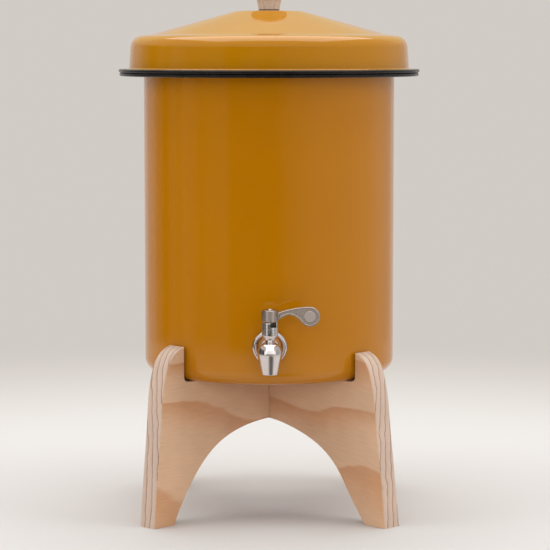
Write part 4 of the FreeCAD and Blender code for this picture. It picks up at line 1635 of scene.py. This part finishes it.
@dataclass(frozen=True)
class SoftBox:
    """A rectangular lamp that faces a point on the object's axis.

    A glow of 1 is white. The lamp is hidden from the camera, and from mirrors where it says so.
    """

    name: str
    place: tuple[float, float, float]
    size: tuple[float, float]
    glow: float
    mirrored: bool = True
    colour: Colour = (1.0, 1.0, 1.0)
    aim: float = 0.3

    def build(self, only: Collection | None = None) -> None:
        """Adds the lamp.

        Args:
            only: The pieces that it lights, if not all.
        """
        data = bpy.data.lights.new(self.name, "AREA")
        data.shape = "RECTANGLE"
        data.size, data.size_y = self.size
        data.energy = self.glow * math.pi * self.size[0] * self.size[1]
        data.color = self.colour
        lamp = bpy.data.objects.new(self.name, data)
        lamp.location = self.place
        towards = Vector((0, 0, self.aim)) - Vector(self.place)
        lamp.rotation_euler = towards.to_track_quat("-Z", "Y").to_euler()
        lamp.visible_camera = False
        lamp.visible_glossy = self.mirrored
        if only:
            lamp.light_linking.receiver_collection = only
        bpy.context.scene.collection.objects.link(lamp)


@dataclass
class Studio:
    """The pale floor, the soft boxes, the cards that only mirrors see, and the camera.

    The curtain card stands round the front and the sides of the object. Its brightness follows
    the direction, in degrees from -Y towards +X. The room has a large box overhead, one high at
    the back, one on each side and a fill from the front. Three small boxes light the tap alone,
    so that its polished steel stands out.
    """

    floor_radius: float = 60.0
    floor_segments: int = 72
    sharp_deg: float = 60.0
    floor_near: Colour = (0.595, 0.573, 0.567)
    floor_far: Colour = (0.64, 0.60, 0.56)
    fade_start: float = 0.5
    fade_end: float = 1.5
    curtain_radius: float = 1.6
    curtain_height: float = 0.92
    curtain_fade: float = 0.10
    curtain_end_deg: float = 145.0
    curtain_glow: Pairs = (
        (-145, 0.50), (-128, 0.44), (-119, 0.20), (-112, 0.12), (-108, 0.01), (-104, 0.01), (-94, 0.14),
        (-86, 0.06), (-81, 0.18), (-70, 0.14), (-63, 0.04), (-50, 0.11), (-38, 0.12), (-33, 0.0),
        (6, 0.0), (17, 0.13), (38, 0.33), (70, 0.43), (115, 0.57), (130, 0.47), (145, 0.52),
    )
    back_distance: float = 3.2
    back_half_width: float = 3.2
    back_heights: tuple[float, float] = (1.25, 4.2)
    back_fade: tuple[float, float] = (1.7, 2.9)
    back_low: Colour = (0.68, 0.67, 0.49)
    back_high: Colour = (0.74, 0.84, 0.64)
    floor_card_reach: tuple[float, float] = (0.40, 1.1)
    floor_card_height: float = 4 * MM
    floor_card_from_deg: float = -16.0
    floor_card_to_deg: float = 34.0
    floor_card_dark: Colour = (0.16, 0.15, 0.14)
    floor_card_pale: Colour = (0.8, 0.77, 0.74)
    ambient: Colour = (1.0, 0.98, 0.96)
    ambient_glow: float = 0.5
    room_boxes: tuple[SoftBox, ...] = (
        SoftBox("overhead_box", (0, 0.3, 2.7), (3.4, 2.8), 2.6, colour=(0.98, 1.0, 0.97)),
        SoftBox("back_box", (0, 3.4, 2.3), (4.6, 1.8), 0.8, mirrored=False),
        SoftBox("left_box", (-2.2, -0.7, 1.3), (1.4, 1.6), 2.2, mirrored=False),
        SoftBox("right_box", (2.2, -0.7, 1.3), (1.4, 1.6), 2.4, mirrored=False),
        SoftBox("front_fill", (0, -3.0, 1.05), (2.6, 1.2), 1.9, mirrored=False),
    )
    tap_boxes: tuple[SoftBox, ...] = (
        SoftBox("tap_top_box", (0.04, -1.04, 0.76), (1.6, 1.35), 1.15, aim=0.22),
        SoftBox("tap_left_box", (-0.95, -1.2, 0.42), (0.5, 0.75), 1.2, aim=0.22),
        SoftBox("tap_right_box", (1.05, -1.1, 0.42), (0.55, 0.75), 0.8, aim=0.22),
    )
    lens: float = 146.1
    camera_pitch_deg: float = -5.88
    camera_distance: float = 2.687
    camera_height: float = 0.5567
    camera_side: float = 7.1 * MM
    camera_turn_deg: float = 0.4

    def floor(self) -> None:
        """A wide disc whose colour fades to the backdrop's with the distance from the object."""
        near, far = np.linspace(0, 2, 21), (3, 5, 9, 20, self.floor_radius)
        rings = np.concatenate([near, far])[:, None]
        angles = np.arange(self.floor_segments) * FULL_TURN / self.floor_segments
        points = np.stack([rings * np.cos(angles), rings * np.sin(angles), 0 * rings * angles], -1)
        material, sheet, place = start_material("pale_floor")
        distance = sheet.node("ShaderNodeVectorMath", {0: place}, operation="LENGTH").outputs["Value"]
        fade = sheet.ramp(distance, self.fade_start, self.fade_end)
        colour = sheet.mix(fade, self.floor_near, self.floor_far)
        keys = {"Base Color": colour, "Roughness": 0.75, "Specular IOR Level": 0.2}
        lit = sheet.node("ShaderNodeBsdfPrincipled", keys)
        glow = sheet.node("ShaderNodeEmission", {"Color": solid(self.floor_far), "Strength": 1.0})
        share = sheet.math("MULTIPLY", fade, self.seen(sheet))
        both = sheet.node("ShaderNodeMixShader", {0: share, 1: lit.outputs[0], 2: glow.outputs[0]})
        sheet.node("ShaderNodeOutputMaterial", {0: both.outputs[0]})
        floor = build_mesh("stage_floor", grid(points, False, True), [material], self.sharp_deg)

    @staticmethod
    def seen(sheet: Sheet) -> NodeSocket:
        """1 for the rays that see the backdrop: the camera's, mirrored ones and those in glass."""
        ray = sheet.node("ShaderNodeLightPath").outputs
        mirrored = sheet.math("MAXIMUM", ray["Is Glossy Ray"], ray["Is Transmission Ray"])
        return sheet.math("MAXIMUM", ray["Is Camera Ray"], mirrored)

    def card(
        self, name: str, points: np.ndarray, glow: Callable[[Sheet, NodeSocket], NodeSocket]
    ) -> None:
        """A glowing sheet that only mirrors see.

        Args:
            name: Name of the card.
            points: Grid of its corners.
            glow: Gives the card's colour from its material's sheet and the Object coordinates.
        """
        material, sheet, place = start_material(name)
        shine = sheet.node("ShaderNodeEmission", {"Color": glow(sheet, place), "Strength": 1.0})
        sheet.node("ShaderNodeOutputMaterial", {0: shine.outputs[0]})
        card = build_mesh(name, grid(points, False, False), [material], self.sharp_deg)
        card.visible_camera = False
        card.visible_diffuse = False
        card.visible_shadow = False
        card.visible_transmission = False

    @staticmethod
    def direction(sheet: Sheet, axes: Sequence[NodeSocket]) -> NodeSocket:
        """The angle about the object's axis, in radians from -Y towards +X."""
        return sheet.math("ARCTAN2", axes[0], sheet.math("MULTIPLY", axes[1], -1.0))

    def curtain_colour(self, sheet: Sheet, place: NodeSocket) -> NodeSocket:
        """The curtain's brightness by direction, with its soft upper edge."""
        axes = sheet.axes(place)
        turns = sheet.math("DIVIDE", self.direction(sheet, axes), FULL_TURN)
        share = sheet.math("ADD", turns, 0.5)
        around = self.glow_ramp(sheet, share, self.curtain_glow)
        edge = sheet.ramp(axes[2], self.curtain_height - self.curtain_fade, self.curtain_height)
        return sheet.mix(edge, around, self.floor_far)

    def cards(self) -> None:
        """The curtain, a dim card high at the back, and a small dark one on the floor in front.

        The curtain is part of a cylinder. The card on the floor is part of a ring.
        """
        end = math.radians(self.curtain_end_deg)
        angles = np.linspace(-end, end, 121)
        heights = np.array([0.0, self.curtain_height])[:, None]
        x, y = self.curtain_radius * np.sin(angles), -self.curtain_radius * np.cos(angles)
        curtain = np.stack([x + 0 * heights, y + 0 * heights, heights + 0 * angles], -1)
        self.card("stage_curtain", curtain, self.curtain_colour)
        across, up = np.meshgrid([-self.back_half_width, self.back_half_width], self.back_heights)
        back = np.stack([across, self.back_distance + 0 * across, up], -1)
        self.card("stage_back_card", back, self.back_colour)
        spread = np.radians(np.linspace(self.floor_card_from_deg, self.floor_card_to_deg, 13))
        angles, reach = np.meshgrid(spread, self.floor_card_reach)
        level = self.floor_card_height + 0 * reach
        floor = np.stack([reach * np.sin(angles), -reach * np.cos(angles), level], -1)
        self.card("stage_floor_card", floor, self.floor_card_colour)

    def floor_card_colour(self, sheet: Sheet, place: NodeSocket) -> NodeSocket:
        """Dark along the middle of the floor card, and like the floor at its two ends."""
        angle = self.direction(sheet, sheet.axes(place))
        middle = math.radians((self.floor_card_from_deg + self.floor_card_to_deg) / 2)
        half = math.radians((self.floor_card_to_deg - self.floor_card_from_deg) / 2)
        away = sheet.math("ABSOLUTE", sheet.math("SUBTRACT", angle, middle))
        fade = sheet.ramp(away, half / 4, half)
        return sheet.mix(fade, self.floor_card_dark, self.floor_card_pale)

    def back_colour(self, sheet: Sheet, place: NodeSocket) -> NodeSocket:
        """The back card's colour, brighter with the height."""
        height = sheet.axes(place)[2]
        return sheet.mix(sheet.ramp(height, *self.back_fade), self.back_low, self.back_high)

    @staticmethod
    def glow_ramp(sheet: Sheet, share: NodeSocket, stops: Pairs) -> NodeSocket:
        """A grey for each direction.

        Args:
            sheet: The material's sheet.
            share: The direction's share of a full turn, 0.5 being -Y.
            stops: Pairs of a direction in degrees and a brightness.

        Returns:
            The colour socket.
        """
        ramp = sheet.node("ShaderNodeValToRGB", {0: share})
        elements = ramp.color_ramp.elements
        while len(elements) < len(stops):
            elements.new(1.0)
        for element, (degrees, glow) in zip(elements, stops):
            element.position = degrees / 360 + 0.5
            element.color = (glow, glow, glow, 1.0)
        return ramp.outputs[0]

    def lamps(self) -> None:
        """Adds the boxes of the room, and then those that light only the tap's pieces."""
        for box in self.room_boxes:
            box.build()
        tap = bpy.data.collections.new("tap_pieces")
        for piece in bpy.context.scene.objects:
            if piece.name.startswith("tap_") or piece.name in ("lever_screw", "stop_pin"):
                tap.objects.link(piece)
        for box in self.tap_boxes:
            box.build(tap)

    def world(self) -> None:
        """A pale surround that the camera and mirrors see, and a dimmer ambient light."""
        world = bpy.data.worlds.new("pale_room")
        bpy.context.scene.world = world
        world.use_nodes = True
        sheet = Sheet(world.node_tree)
        keys = {"Color": solid(self.ambient), "Strength": self.ambient_glow}
        ambient = sheet.node("ShaderNodeBackground", keys).outputs[0]
        keys = {"Color": solid(self.floor_far), "Strength": 1.0}
        shown = sheet.node("ShaderNodeBackground", keys).outputs[0]
        mixed = sheet.node("ShaderNodeMixShader", {0: self.seen(sheet), 1: ambient, 2: shown})
        sheet.node("ShaderNodeOutputWorld", {0: mixed.outputs[0]})

    def camera(self) -> None:
        """The photograph's viewpoint: a long lens, a little below the lid's crown."""
        data = bpy.data.cameras.new("photo_camera")
        data.lens = self.lens
        data.sensor_width = 36.0
        data.clip_start, data.clip_end = 0.05, 200.0
        camera = bpy.data.objects.new("photo_camera", data)
        turn = math.radians(-self.camera_turn_deg)
        c, s = math.cos(turn), math.sin(turn)
        x, y = self.camera_side, -self.camera_distance
        camera.location = (c * x - s * y, s * x + c * y, self.camera_height)
        camera.rotation_euler = (QUARTER_TURN + math.radians(self.camera_pitch_deg), 0.0, turn)
        bpy.context.scene.collection.objects.link(camera)
        bpy.context.scene.camera = camera

    def build(self) -> None:
        """Sets the whole stage."""
        self.floor()
        self.cards()
        self.lamps()
        self.world()
        self.camera()
        bpy.context.scene.view_settings.view_transform = "Standard"


def main() -> None:
    """Builds the object and its stage."""
    logging.basicConfig(level=logging.INFO, format="%(name)s: %(message)s")
    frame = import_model()
    finishes = Finishes(Effects())
    for kind in (Stand, Crock, Lid, Tap):
        kind(finishes, frame["nodes"]).build()
    Studio().build()


if __name__ == "__main__":
    main()
